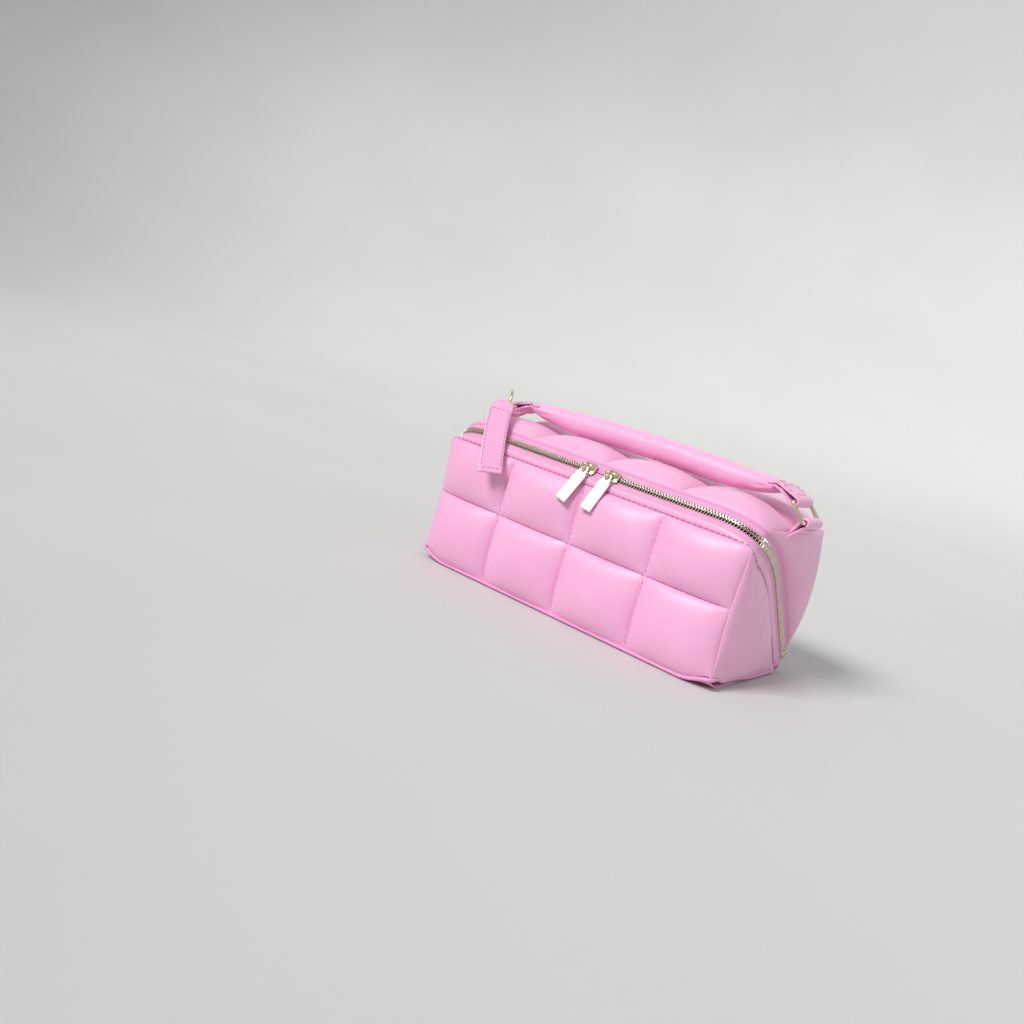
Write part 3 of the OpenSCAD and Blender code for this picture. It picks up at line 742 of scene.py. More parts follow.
def back_panel():
    """The back, quilted in squares, from the hinge up to the lid's rear seam."""
    x, u = cell_lines(column_edges(), PER_SQUARE)
    rows, v = cell_lines([0, 0.5, 1], BACK_PER_ROW)
    low = HINGE_Z + 1.2 + 2.5 * smooth((np.abs(x) - 112) / 18)
    Z = mix(low[:, None], fall_z(x)[:, None] - 0.2, rows[None])
    X = np.broadcast_to(x[:, None], Z.shape)
    bow = rear_bow(Z) * (np.abs(X) / HALF_L) ** 6
    stuffing = puff(u, v)
    belly = 2.2 * dome(X / HALF_L, 4) * dome(2 * rows[None] - 1, 4)
    height = 7.4 * stuffing + belly
    seams = quilt_seams((14, 106), [(62, -128, 128), (12, -120, 120), (114, -120, 120)])
    height += gathers(X, Z, stuffing, seams, 41, 1.0)
    plane = HALF_D - 0.3 + REAR_BOW[1] * bow
    X = X + np.sign(X) * REAR_BOW[0] * bow
    outer = np.stack([X, plane + height, Z], -1)
    inner = np.stack([X, plane + belly * 0.6 - PANEL_T, Z], -1)
    nodes = ["back_panel", "back_padding"]
    padded_piece("quilted_back", Shape().slab(outer, inner), "lid", nodes)
    return outer


lid_outer = lid_top()
back_outer = back_panel()

lid_stitches = Shape()
quilt_stitches(lid_stitches, lid_outer, PER_SQUARE, (0, 0, 1))
quilt_stitches(lid_stitches, back_outer, BACK_PER_ROW, (0, 1, 0))
piece("lid_stitches", lid_stitches, THREAD, "lid")


def lid_side():
    """The upper end wall: a plain triangle between the binding, the lid's side seam and
    the back corner."""
    columns = 64
    t = eased_steps(columns)
    s = mix(S_SIDE, ROUTE_HALF, t)
    low = lid_edge(s)
    top_y = mix(low[0, 1], HALF_D - 0.3, t)
    high = np.stack([np.full(columns, HALF_L), top_y, np.full(columns, fall_z(HALF_L))], -1)
    low[:, 0] = HALF_L - 0.4
    grid, v = wall_grid(low, high, 44)
    shift = rear_bow(grid[-1, :, 2])[:, None] * (*REAR_BOW, 0)
    grid = grid + shift[None] * (t ** 5)[:, None, None]
    height = (grid[:, -1, 2] - grid[:, 0, 2])[:, None]
    swell = dome(2 * t[:, None] - 1, 2.2, 0.55) * dome(2 * v[None] - 1, 2.2, 0.6)
    bulge = 8.6 * swell * np.clip(height / 60, 0, 1) ** 0.6
    y, z = grid[..., 1], grid[..., 2]
    seams = [(0, HALF_D, 20, 100), (1, 108, -30, 50)]
    bulge = bulge + creases(y, z, seams, 51, 12, 0.45) * swell ** 0.5 + 0.3 * slow_waves(y, z, 52, 50) * swell
    return Shape().slab(grid + bulge[..., None] * (1, 0, 0), grid - (PANEL_T, 0, 0))


both_walls("end_wall_upper", "lid_side", lid_side(), "lid")


# ---- Zip ----

def even_s(step):
    count = int(2 * ROUTE_HALF / step) + 1
    return np.linspace(-ROUTE_HALF, ROUTE_HALF, count)


def band(s, profile):
    """A strip along the whole zip whose section is a list of (across, out)."""
    _, along, _, _ = route_axes(s)
    rings = np.stack([tucked(at_zip(s, a, n), along) for a, n in profile], 1)
    return rings


def whole_low_line(s):
    """The facing's lower seam at distances s along the zip, on both ends."""
    right = low_line
    right_s = lengths(right)
    corner = right_s[corner_i]
    marks = [0, S_CORNER, S_CORNER + 0.62 * (S_SIDE - S_CORNER), S_SIDE + 4, ROUTE_HALF]
    end_of_turn = right_s[-1] - (ROUTE_HALF - S_SIDE - 4)
    places = [0, S_CORNER, corner, end_of_turn, right_s[-1]]
    place = np.interp(np.abs(s), marks, places)
    point = np.stack([np.interp(place, right_s, c) for c in right.T], -1)
    point[..., 0] *= np.where(s < 0, -1, 1)
    return point


def facing():
    """The folded leather band between the stitched seam and the tape."""
    s = even_s(1.5)
    low = whole_low_line(s)
    _, along, _, _ = route_axes(s)
    high = at_zip(s, -TAPE_HALF + 0.3, 0.2)
    rise = high - low
    out = unit(np.cross(along, rise))
    width = np.linalg.norm(rise, axis=1, keepdims=True)
    up = rise / width
    section = [(0.0, -0.7), (0.0, 0.1), (0.10, 0.55), (0.28, 0.95), (0.5, 1.1), (0.72, 1.05),
               (0.90, 0.9), (0.99, 0.75), (1.0, 0.35), (0.98, -0.1), (0.6, -0.5), (0.3, -0.6)]
    rings = np.stack([low + a * width * up + n * out for a, n in section], 1)
    shape = Shape().tube(rings)
    piece("zip_facing_band", shape, PINK, "base", ["zip_facing"], sharp=60)
    sewn = Shape()
    path = low + 0.16 * width * up + 0.72 * out
    stitch_run(sewn, path[2:-2], out[2:-2], lift=0.05, radius=0.3)
    piece("facing_stitches", sewn, THREAD, "base")


def binding():
    """The lid's turned edge above the tape, almost hidden under the quilting."""
    s = even_s(1.5)
    profile = [(6.9, 0.0), (6.9, 0.45), (7.25, 0.8), (7.9, 0.9), (8.6, 0.8), (9.2, 0.2), (9.2, -0.5),
               (8.2, -0.7), (7.2, -0.5)]
    shape = Shape().tube(band(s, profile))
    piece("lid_binding", shape, TRIM, "lid", ["lid_edge_binding"], sharp=60)


def tape(name, side, body, node):
    """Woven tape. Its edge reaches the middle where the sliders hold the two rows apart."""
    s = even_s(1.5)
    _, along, _, _ = route_axes(s)
    middle = (SLIDERS["left"] + SLIDERS["right"]) / 2
    edge = mix(2.0, 0.25, smooth((14 - np.abs(s - middle)) / 3))
    profile = [(7.9, -0.3), (7.9, 0.3), (5.2, 0.42), (edge + 0.3, 0.3), (edge, 0.0), (edge + 0.3, -0.3),
               (5.2, -0.42)]
    rings = np.stack([tucked(at_zip(s, side * a, n), along) for a, n in profile], 1)
    piece(name, Shape().tube(rings), TAPE, body, [node], sharp=50)


TOOTH_PITCH = 2.2
# A tooth from the tape to its head: distance from the zip's middle, half length, half height
TOOTH_OUTLINE = [(3.0, 0.40, 1.3), (1.2, 0.44, 1.4), (0.7, 0.32, 1.15),
                 (0.2, 0.34, 1.15), (-0.3, 0.46, 1.3), (-0.75, 0.36, 0.95)]
TOOTH_SECTION = [(-1, -0.7), (-1, 0.7), (-0.6, 1), (0.6, 1), (1, 0.7), (1, -0.7), (0.6, -1), (-0.6, -1)]


def teeth(name, side, body, node):
    """Metal teeth clamped on the tape's edge, each with a rounded head that sits between
    two heads of the other row."""
    shape = Shape()
    offset = 0 if side < 0 else TOOTH_PITCH / 2
    s = np.arange(-ROUTE_HALF + 3 + offset, ROUTE_HALF - 2, TOOTH_PITCH)
    s = s[(s <= SLIDERS["left"] - 5.5) | (s >= SLIDERS["right"] + 5.5)]
    across, half, thick = np.array(TOOTH_OUTLINE).T[:, :, None, None]
    along_share, out_share = np.array(TOOTH_SECTION).T[:, None, :, None]
    for point, along, sideways, outward in zip(*route_axes(s)):
        centre = point + across * side * sideways
        shape.tube(centre + along_share * half * along + out_share * thick * outward)
    piece(name, shape, TEETH, body, [node], sharp=35)


facing()
binding()
tape("tape_lower", -1, "base", "zip_tape_lower")
tape("tape_upper", 1, "lid", "zip_tape_upper")
teeth("teeth_lower", -1, "base", "zip_teeth_lower")
teeth("teeth_upper", 1, "lid", "zip_teeth_upper")


def end_clips():
    """The folded metal stops at the rear ends of the zip."""
    shape = Shape()
    s = np.array([ROUTE_HALF - 5.5, ROUTE_HALF - 5.0, ROUTE_HALF - 1.0, ROUTE_HALF - 0.4])
    grow = np.array([0.86, 1.0, 1.0, 0.86])
    profile = [(-3.2, 0.9), (-2.8, 1.9), (-1.2, 2.25), (1.2, 2.25), (2.8, 1.9), (3.2, 0.9), (3.2, -0.6),
               (-3.2, -0.6)]
    rings = np.stack([at_zip(s, a * grow, n * grow) for a, n in profile], 1)
    shape.tube(rings)
    for name, form in (("right", shape), ("left", shape.mirrored())):
        piece(f"zip_end_{name}_clip", form, GOLD, "base", [f"zip_end_{name}"], sharp=30)


end_clips()


# ---- Sliders and pulls ----

FRONT_UP = np.array([0, FRONT_OUT[2], -FRONT_OUT[1]])


def on_zip(x, points):
    """Places points drawn along, across and out of the zip at distance x on the front."""
    points = np.asarray(points, float)
    return (np.array([x, ZIP_Y, ZIP_Z]) + points[..., 0:1] * (1, 0, 0) + points[..., 1:2] * FRONT_UP
            + points[..., 2:3] * FRONT_OUT)


def rounded_outline(points, radius, step=0.25):
    """A closed outline with its corners rounded off."""
    points = np.asarray(points, float)
    out = []
    for before, here, after in zip(np.roll(points, 1, 0), points, np.roll(points, -1, 0)):
        a, b = unit(before - here), unit(after - here)
        half = math.acos(np.clip(a @ b, -1, 1)) / 2
        sides = np.linalg.norm([before - here, after - here], axis=1)
        reach = min(radius / math.tan(half), 0.45 * sides.min())
        out.append(corner_arc(here, a, b, reach))
    out = np.concatenate(out)
    loop = np.concatenate([out, out[:1]])
    s = lengths(loop)
    count = max(16, int(s[-1] / step))
    even = np.linspace(0, s[-1], count, endpoint=False)
    return np.stack([np.interp(even, s, c) for c in loop.T], -1)


def inset_outline(loop, by):
    ahead, behind = np.roll(loop, -1, 0), np.roll(loop, 1, 0)
    tangent = unit(ahead - behind)
    normal = np.stack([-tangent[:, 1], tangent[:, 0]], -1)
    area = np.sum(loop[:, 0] * np.roll(loop[:, 1], -1) - np.roll(loop[:, 0], -1) * loop[:, 1])
    return loop + np.sign(area) * by * normal


def plate_rings(loop, low, high, bevel):
    """Rings of a flat plate with bevelled edges, from its lower face to its upper one."""
    steps = [(bevel, low), (bevel * 0.3, low + bevel * 0.3), (0, low + bevel), (0, high - bevel),
             (bevel * 0.3, high - bevel * 0.3), (bevel, high)]
    return [np.concatenate([inset_outline(loop, by), np.full((len(loop), 1), z)], 1) for by, z in steps]


def slider(name):
    """The slider's two plates with their side flanges, and the bridge that holds the link."""
    x = SLIDERS[name]
    inner = 1 if name == "left" else -1
    nose, tail = 6.0 * inner, -6.0 * inner
    body = [(tail, -3.6), (tail * 0.55, -4.4), (0, -4.7), (nose * 0.7, -4.7), (nose, -3.2),
            (nose, 3.2), (nose * 0.7, 4.7), (0, 4.7), (tail * 0.55, 4.4), (tail, 3.6)]
    shape = Shape()
    loop = rounded_outline(body, 1.0, 0.4)
    for low, high in ((1.7, 2.75), (-2.75, -1.7)):
        shape.tube(on_zip(x, plate_rings(loop, low, high, 0.35)))
    for side in (-1, 1):
        low_y, high_y = side * 4.15 - 0.45, side * 4.15 + 0.45
        flange = rounded_outline([(-4.6, low_y), (4.4, low_y), (4.4, high_y), (-4.6, high_y)], 0.3, 0.4)
        for low, high in ((0.75, 1.9), (-1.9, -0.75)):
            shape.tube(on_zip(x, plate_rings(flange, low, high, 0.2)))
    post = rounded_outline([(nose - 2.4 * inner, -0.6), (nose - 0.4 * inner, -0.6), (nose - 0.4 * inner, 0.6),
                            (nose - 2.4 * inner, 0.6)], 0.3, 0.3)
    shape.tube(on_zip(x, plate_rings(post, -1.9, 1.9, 0.1)))
    arch = polyline([(-4.3, 0, 2.2), (-4.2, 0, BRIDGE_N - 0.4), (-3.4, 0, BRIDGE_N), (3.4, 0, BRIDGE_N),
                     (4.2, 0, BRIDGE_N - 0.4), (4.3, 0, 2.2)], 0.25, 0.9)
    tall = 1 - 0.28 * smooth(1 - np.abs(arch[:, 0]) / 3.6)
    bridge = ring_section(arch, (0, 1, 0), 1.25 * tall, 0.72, 14, 2.6)
    shape.tube(on_zip(x, bridge))
    piece(f"slider_{name}_body", shape, GOLD, f"slider_{name}", [f"slider_{name}"], sharp=32)


HANG = unit([0, -0.40, -0.917])
HANG_OUT = unit([0, -0.917, 0.40])
LINK_R, LINK_WIRE = 2.5, 0.65
LINK_DROP = LINK_R - LINK_WIRE - 0.7 - 0.15
EYE_DROP, EYE_R, EYE_RIM = 1.15, 1.95, 0.25
PULL_L, PULL_HALF_W, PULL_T = 30.0, 4.6, 1.6


def bridge_at(name):
    return on_zip(SLIDERS[name], [0, 0, BRIDGE_N])


def pull_link(name):
    a = np.linspace(0, 2 * math.pi, 40, endpoint=False)
    centre = bridge_at(name) + LINK_DROP * HANG
    path = centre + LINK_R * (np.cos(a)[:, None] * HANG + np.sin(a)[:, None] * HANG_OUT)
    shape = Shape().tube(round_wire(path, LINK_WIRE, True, 12, (1, 0, 0)), closed=True)
    piece(f"pull_link_{name}_ring", shape, GOLD, f"link_{name}", [f"pull_link_{name}"])


def pull_plate(name):
    """A flat plate with rounded corners, a narrower neck and a round eye for the link."""
    lean = math.radians(PULL_LEAN[name])
    foot = -EYE_DROP - PULL_L + 3.2
    wide = PULL_HALF_W
    outline = rounded_outline([(-2.2, 2.05), (2.2, 2.05), (3.0, -1.8), (wide, -5.6), (wide, foot + 2),
                               (wide, foot), (-wide, foot), (-wide, foot + 2), (-wide, -5.6), (-3.0, -1.8)],
                              1.8, 0.35)
    start = int(np.argmax(outline[:, 1] - 0.001 * np.abs(outline[:, 0])))
    outline = np.roll(outline, -start, 0)
    count = len(outline)
    angle = np.unwrap(np.arctan2(outline[:, 1] + EYE_DROP, outline[:, 0]))
    low, high, bevel = -PULL_T / 2, PULL_T / 2, 0.4

    def ring(loop, z):
        return np.concatenate([loop, np.full((count, 1), z)], 1)

    def hole(radius, z):
        return ring(np.stack([radius * np.cos(angle), radius * np.sin(angle) - EYE_DROP], -1), z)

    flat = inset_outline(outline, bevel + 0.3)
    outer = [ring(flat, low)] + plate_rings(outline, low, high, bevel) + [ring(flat, high)]
    inner = [hole(EYE_R + EYE_RIM, high), hole(EYE_R, high - EYE_RIM), hole(EYE_R, low + EYE_RIM),
             hole(EYE_R + EYE_RIM, low)]
    rings = np.array(outer + inner)
    c, s = math.cos(-lean), math.sin(-lean)
    x, y = rings[..., 0] * c - rings[..., 1] * s, rings[..., 0] * s + rings[..., 1] * c
    wire = bridge_at(name) + (LINK_DROP + LINK_R) * HANG
    placed = wire + x[..., None] * (1, 0, 0) - y[..., None] * HANG + rings[..., 2:3] * HANG_OUT
    shape = Shape().tube(placed, closed=True)
    piece(f"pull_{name}_plate", shape, PULL, f"pull_{name}", [f"pull_plate_{name}"], sharp=28)


for which in SLIDERS:
    slider(which)
    pull_link(which)
    pull_plate(which)


# ---- Handle ----

def arch_z(x):
    u = np.asarray(x) - HANDLE_X
    return HANDLE_Z - ARCH_R + np.sqrt(ARCH_R * ARCH_R - u * u)


# How far the underside of the handle rises, at distances from its middle
UNDERSIDE_RISE = [(62, 0), (68, 0.2), (76, 1.3), (84, 2.8), (90, 4.0), (95, 5.2), (99, 6.3), (102, 7.4),
                  (104.5, 8.4)]


def handle_tube():
    """Leather rolled round padding with a sewn seam along its underside. Its ends are
    pressed flat: the top runs on level while the underside rises."""
    far = np.linspace(66, HANDLE_HALF, 60)
    u = np.concatenate([-far[::-1], np.linspace(-65, 65, 100), far])
    x = HANDLE_X + u
    rise = np.interp(np.abs(u), *np.transpose(UNDERSIDE_RISE))
    end = smooth((np.abs(u) - 84) / 20)
    a = np.linspace(0, 2 * math.pi, 64, endpoint=False)
    wide = mix(HANDLE_R, 12.2, end)[:, None]
    tall = (HANDLE_R - rise / 2)[:, None]
    seam = 0.55 * np.exp(-((a[None] + math.pi / 2 + math.pi) % (2 * math.pi) - math.pi) ** 2 / 0.012)
    fold_x, fold_a = np.broadcast_to(x[:, None], (len(x), len(a))), np.broadcast_to(a[None], (len(x), len(a)))
    gathers = 0.35 * (end * (1 - end) * 4)[:, None] * np.sin(fold_a * 9 + 0.6 * np.sin(fold_x * 0.3))
    unevenness = 0.14 * slow_waves(fold_x, fold_a * 9, 61, 40) + 0.10 * slow_waves(fold_x, fold_a * 9, 62, 14)
    r = 1 + (unevenness + gathers - seam) / HANDLE_R
    y = wide * np.cos(a)[None] * r
    z = tall * np.sin(a)[None] * r
    rings = np.stack([np.broadcast_to(x[:, None], y.shape), y, (arch_z(x) + rise / 2)[:, None] + z], -1)
    obj = piece("handle_grip", Shape().tube(rings), PINK, "handle", ["handle_tube", "handle_core"])
    sewn = Shape()
    for side in (-1, 1):
        run_x = HANDLE_X + np.linspace(-64, 64, 300)
        run_a = -math.pi / 2 + side * 0.16
        out = np.array([0, math.cos(run_a), math.sin(run_a)])
        path = np.stack([run_x, np.zeros(300), arch_z(run_x)], -1) + HANDLE_R * out
        stitch_run(sewn, path, out, lift=0.05, radius=0.28)
    piece("handle_stitches", sewn, THREAD, "handle")


def flat_path(xz):
    return np.stack([xz[:, 0], np.zeros(len(xz)), xz[:, 1]], -1)


def cross_run(x, z, half_w):
    """A straight line across the strap or the tab at one place."""
    return np.stack([np.full(60, x), np.linspace(-half_w, half_w, 60), np.full(60, z)], -1)


def loop_path(bar, reach, tail_a, tail_b, turn_from, turn_to):
    """(X, Z) path that comes from tail_a, goes round a bar and returns to tail_b."""
    a = np.radians(np.linspace(turn_from, turn_to, 24))
    turn = bar + reach * np.stack([np.cos(a), np.sin(a)], -1)
    return polyline(np.concatenate([tail_a, turn, tail_b]), 0.5, 1.5)


STRAP_HALF_W = 12.9
LAYER_HALF_T = 1.15
LOOP_REACH = BAR_R + 0.2 + LAYER_HALF_T
STRAP_FACING = (0.3, 0, 0.95)


def end_strap(bar, end_x):
    """The doubled strap from the handle's flat end, folded round the ring's upper bar. It
    is widest just past the handle, where its cut corners stand out as small ears."""
    over = np.array([[end_x - 5, STRAP_Z + 0.6], [end_x + 1, STRAP_Z + 1.2], [end_x + 5.4, STRAP_Z + 0.9]])
    under = np.array([[end_x + 5.4, STRAP_Z - 1.9], [end_x - 1, STRAP_Z - 1.2]])
    path = loop_path(bar, LOOP_REACH, over, under, 66, -108)
    ear = np.exp(-((path[:, 0] - end_x - 1.2) / 1.6) ** 2)
    notch = np.exp(-((path[:, 0] - end_x - 4.6) / 1.1) ** 2)
    half_w = STRAP_HALF_W - 0.9 * notch - 0.6 * smooth((end_x - path[:, 0]) / 4)
    rings = ring_section(flat_path(path), (0, 1, 0), half_w, LAYER_HALF_T, 20, 5.0)
    rings[..., 2] += 1.1 * ear[:, None] * smooth((np.abs(rings[..., 1]) - 8.5) / 4)
    strap = Shape().tube(rings)
    sewn = Shape()
    top = path[: int(np.argmax(path[:, 0]))]
    near, far = end_x + 5.5, bar[0] - 1.0
    for side in (-1, 1):
        x = np.linspace(near, far, 40)
        z = np.interp(x, top[:, 0], top[:, 1]) + LAYER_HALF_T
        line = np.stack([x, np.full(40, side * 10.9), z], -1)
        stitch_run(sewn, line, STRAP_FACING, lift=0.0, radius=0.3)
    for x in (near, far):
        z = float(np.interp(x, top[:, 0], top[:, 1])) + LAYER_HALF_T
        stitch_run(sewn, cross_run(x, z, 10.3), STRAP_FACING, lift=0.0, radius=0.3)
    return strap, sewn


RING_CORNER = 1.9


def handle_ring(upper, lower):
    """The rectangular ring of one end: two bars with rounded corners between them."""
    corners = np.array([(upper[0], -SIDE_BAR_Y, upper[1]), (upper[0], SIDE_BAR_Y, upper[1]),
                        (lower[0], SIDE_BAR_Y, lower[1]), (lower[0], -SIDE_BAR_Y, lower[1])])
    path = []
    for before, here, after in zip(np.roll(corners, 1, 0), corners, np.roll(corners, -1, 0)):
        path.append(corner_arc(here, unit(before - here), unit(after - here), RING_CORNER))
    normal = np.cross(corners[1] - corners[0], corners[2] - corners[1])
    return Shape().tube(round_wire(np.concatenate(path), BAR_R, True, 16, normal), closed=True)


def tab(bar):
    """The short tab: a strap that leaves the lid's side seam, goes up and round the
    ring's lower bar, and comes back on its inner side."""
    rise = unit(bar - TAB_ROOT)
    out = np.array([rise[1], -rise[0]])
    turn = math.degrees(math.atan2(out[1], out[0]))
    foot = np.array([[130.9, 104.2], [132.4, 105.6], TAB_ROOT + 1.1 * out - 0.6 * rise])
    tail = np.array([TAB_ROOT - 1.1 * out + 1.0 * rise, TAB_ROOT - 1.0 * out - 1.6 * rise])
    path = loop_path(bar, LOOP_REACH, foot, tail, turn, turn + 180)
    shape = Shape().tube(ring_section(flat_path(path), (0, 1, 0), 12.3, LAYER_HALF_T, 20, 5.0))
    sewn = Shape()
    start = TAB_ROOT + (1.1 + LAYER_HALF_T) * out
    end = bar + (LOOP_REACH + LAYER_HALF_T) * out - 1.0 * rise
    for spot in (mix(start, end, 0.12), mix(start, end, 0.8)):
        stitch_run(sewn, cross_run(*spot, 10.6), (out[0], 0, out[1]), lift=0.0, radius=0.3)
    return shape, sewn


handle_tube()
for which, end in (("right", 1), ("left", -1)):
    def form(shape):
        return shape if end > 0 else shape.mirrored()

    strap_shape, strap_sewn = end_strap(UPPER_BAR[which], HANDLE_HALF + end * HANDLE_X)
    tab_shape, tab_sewn = tab(LOWER_BAR[which])
    piece(f"strap_{which}", form(strap_shape), PINK, "handle", [f"handle_strap_{which}"], sharp=60)
    piece(f"strap_{which}_stitches", form(strap_sewn), THREAD, "handle")
    ring_shape = handle_ring(UPPER_BAR[which], LOWER_BAR[which])
    piece(f"ring_{which}", form(ring_shape), GOLD, "handle", [f"handle_ring_{which}"])
    for name, shape, look in (("tab", tab_shape, PINK), ("tab_stitches", tab_sewn, THREAD)):
        obj = form(shape).mesh(f"{name}_{which}", look)
        obj.data.set_sharp_from_angle(angle=math.radians(60))
        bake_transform(obj)
        if name == "tab":
            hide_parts(f"tab_loop_{which}", f"tab_foot_{which}")


# ---- Tag ----

TAG_SIDE = unit([0.80, 0.60, 0])
TAG_DIR = unit([0.60, -0.80, 0])
TAG_RING_AT = np.array([-114.5, -18.5, 131.5])
TAG_RING_R, TAG_RING_WIRE = 10.4, 1.15
TAG_LINK_R, TAG_LINK_WIRE = 7.0, 1.0
TAG_HALF_W = 8.5
link_dir = unit([0.3, -0.95, 0.08])
link_side = unit(np.cross([0, 0, 1], link_dir))
ring_front = TAG_RING_AT + TAG_RING_R * TAG_DIR
link_centre = ring_front + (TAG_LINK_R - TAG_RING_WIRE - TAG_LINK_WIRE - 0.3) * link_dir
tag_eye = link_centre + TAG_LINK_R * link_dir


def split_ring(name, centre, a_dir, b_dir, radius, wire, body, turn):
    """A round ring of wire with a fine cut where it is opened to thread it."""
    a = np.linspace(0.03, 2 * math.pi - 0.03, 96) + turn
    path = centre + radius * (np.cos(a)[:, None] * a_dir + np.sin(a)[:, None] * b_dir)
    shape = Shape().tube(round_wire(path, wire, False, 16, np.cross(a_dir, b_dir)))
    piece(name, shape, GOLD, body, [body], sharp=50)


split_ring("tag_ring_large", TAG_RING_AT, TAG_DIR, np.array([0, 0, 1.0]), TAG_RING_R, TAG_RING_WIRE,
           "tag_ring", math.pi * 1.3)
split_ring("tag_ring_small", link_centre, link_dir, link_side, TAG_LINK_R, TAG_LINK_WIRE,
           "tag_link", math.pi * 0.8)


def tag():
    """Two layers of leather sewn together, folded round the small ring at the top."""
    start = tag_eye + 2.4 * unit([0.60, -0.76, -0.1])
    bend, low = np.array([-93, -59, 126.5]), np.array([-71.5, -76, 85])
    t = np.linspace(0, 1, 60)[:, None]
    curve = (1 - t) ** 2 * start + 2 * (1 - t) * t * bend + t * t * low
    tangent = unit(np.gradient(curve, axis=0))
    side = unit(TAG_SIDE - (TAG_SIDE * tangent).sum(1, keepdims=True) * tangent)
    out = np.cross(side, tangent)
    out *= np.sign((out * (0, -1, 0.6)).sum(1, keepdims=True))
    a = np.radians(np.linspace(-150, 150, 26))[:, None]
    grip = 2.35
    wrap = tag_eye - grip * np.cos(a) * unit(start - tag_eye) + grip * np.sin(a) * out[0]
    top = curve + 0.62 * out
    under = curve - 0.62 * out
    path = np.concatenate([under[:5:-1], wrap, top[6:]])
    path = polyline(path, 0.6, 1.2)
    along = lengths(path)
    from_eye = np.abs(along - along[-1] / 2)
    half_w = mix(3.6, TAG_HALF_W, smooth((from_eye - 2) / 8))
    rings = ring_section(path, TAG_SIDE, half_w, 0.58, 20, 5.0)
    shape = Shape().tube(rings)
    sewn = Shape()
    width = TAG_HALF_W - 1.3
    face = curve + 1.2 * out
    for edge in (-1, 1):
        line = face[14:-2] + edge * width * side[14:-2]
        stitch_run(sewn, line, out[14:-2], lift=0.0, radius=0.27, length=2.4, gap=1.0)
    for k in (14, -3):
        line = mix(face[k] - width * side[k], face[k] + width * side[k], np.linspace(0, 1, 40)[:, None])
        stitch_run(sewn, line, out[k], lift=0.0, radius=0.27, length=2.4, gap=1.0)
    piece("tag_leather", shape, PINK, "tag", ["tag_strap"], sharp=60)
    piece("tag_stitches", sewn, THREAD, "tag")


tag()


# ---- Bottom ----

def bottom_edge_points():
    """The piping's centre line, from the right rear along the front to the left rear."""
    x, y = HALF_L + 0.2, -HALF_D - 1.2
    run = polyline([(x, 44.5), (x, y), (-x, y), (-x, 44.5)], 1.0, 7.0)
    front_end = smooth((-run[:, 1] + 10) / 60)
    lift = corner_lift(run[:, 0]) * front_end
    return np.stack([run[:, 0], run[:, 1], 2.0 + lift * 0.9], -1)


def piping():
    path = bottom_edge_points()
    shape = Shape().tube(round_wire(path, 1.35, False, 16))
    piece("bottom_welt", shape, TRIM, "base", ["bottom_piping"])


def bottom():
    """The flat underside, turned up at the rear into the lip that holds the hinge."""
    x = np.linspace(-HALF_L + 1.0, HALF_L - 1.0, 120)
    profile = polyline([(-HALF_D - 0.6, 1.4), (-HALF_D + 2, 0.6), (-50, 0.5), (50, 0.5), (HALF_D - 2.2, 0.8),
                        (HALF_D - 1.3, 3.0), (HALF_D - 1.2, 9.2)], 1.2, 2.4)
    X = np.broadcast_to(x[:, None], (len(x), len(profile)))
    Y = np.broadcast_to(profile[None, :, 0], X.shape)
    Z = profile[None, :, 1] + corner_lift(x)[:, None] * smooth((-Y - 44) / 15) * 0.8
    top = np.stack([X, Y, Z], -1)
    n = surface_normals(top, np.array([0, 0.6, -1.0]))
    shape = Shape().slab(top + 0.45 * n, top - 0.6 * n)
    piece("bottom_leather", shape, TRIM, "base", ["bottom_panel", "bottom_board"])


def hinge():
    """The leather strip that joins the base's lip to the back panel."""
    x = np.linspace(-HALF_L + 8, HALF_L - 8, 100)
    z = np.linspace(3.5, 17.5, 24)
    y = HALF_D - 2.6 - 0.9 * np.exp(-((z - HINGE_Z) / 2.5) ** 2)
    X, Z = np.meshgrid(x, z, indexing="ij")
    Y = np.broadcast_to(y[None], X.shape)
    outer = np.stack([X, Y + 0.5, Z], -1)
    inner = np.stack([X, Y - 0.5, Z], -1)
    obj = Shape().slab(outer, inner).mesh("hinge_strip", TRIM)
    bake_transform(obj)
    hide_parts("hinge_fold")


piping()
bottom()
hinge()


# ---- Inside ----

def side_height(y, across):
    """Height of the zip's route on the end walls, moved across by some distance."""
    s = np.linspace(S_SIDE, ROUTE_HALF, 200)
    line = at_zip(s, across, 0)
    return np.interp(y, line[:, 1], line[:, 2])


def plan_loop(half_x, low_y, high_y, radius, count=240):
    """Even points round a rectangle with rounded corners."""
    corners = [(half_x, low_y), (half_x, high_y), (-half_x, high_y), (-half_x, low_y)]
    loop = rounded_outline(corners, radius, 0.5)
    s = np.linspace(0, len(loop), count, endpoint=False).astype(int)
    return loop[s]


def tray(loop, floor_z, wall_z, fillet, flip):
    """A cloth tray: a flat middle, a rounded fold, then walls up (or down) to wall_z."""
    middle = np.array([0, loop[:, 1].mean()])
    rows = []
    for share in (0.02, 0.2, 0.4, 0.6, 0.75, 0.86, 0.93):
        inner = middle + (loop - middle) * share
        rows.append(np.concatenate([inner, np.full((len(loop), 1), floor_z)], 1))
    reach = np.abs(wall_z - floor_z)
    bend = np.minimum(fillet, 0.8 * reach)
    inward = unit(middle - loop) * 1.0
    for a in np.radians([8, 25, 45, 65, 82, 90]):
        off = bend * (1 - math.sin(a))
        z = floor_z + flip * bend * (1 - math.cos(a))
        rows.append(np.concatenate([loop + inward * off[:, None], z[:, None]], 1))
    for share in np.linspace(0.08, 1, 14):
        z = floor_z + flip * (bend + (reach - bend) * share)
        rows.append(np.concatenate([loop, z[:, None]], 1))
    return np.array(rows)


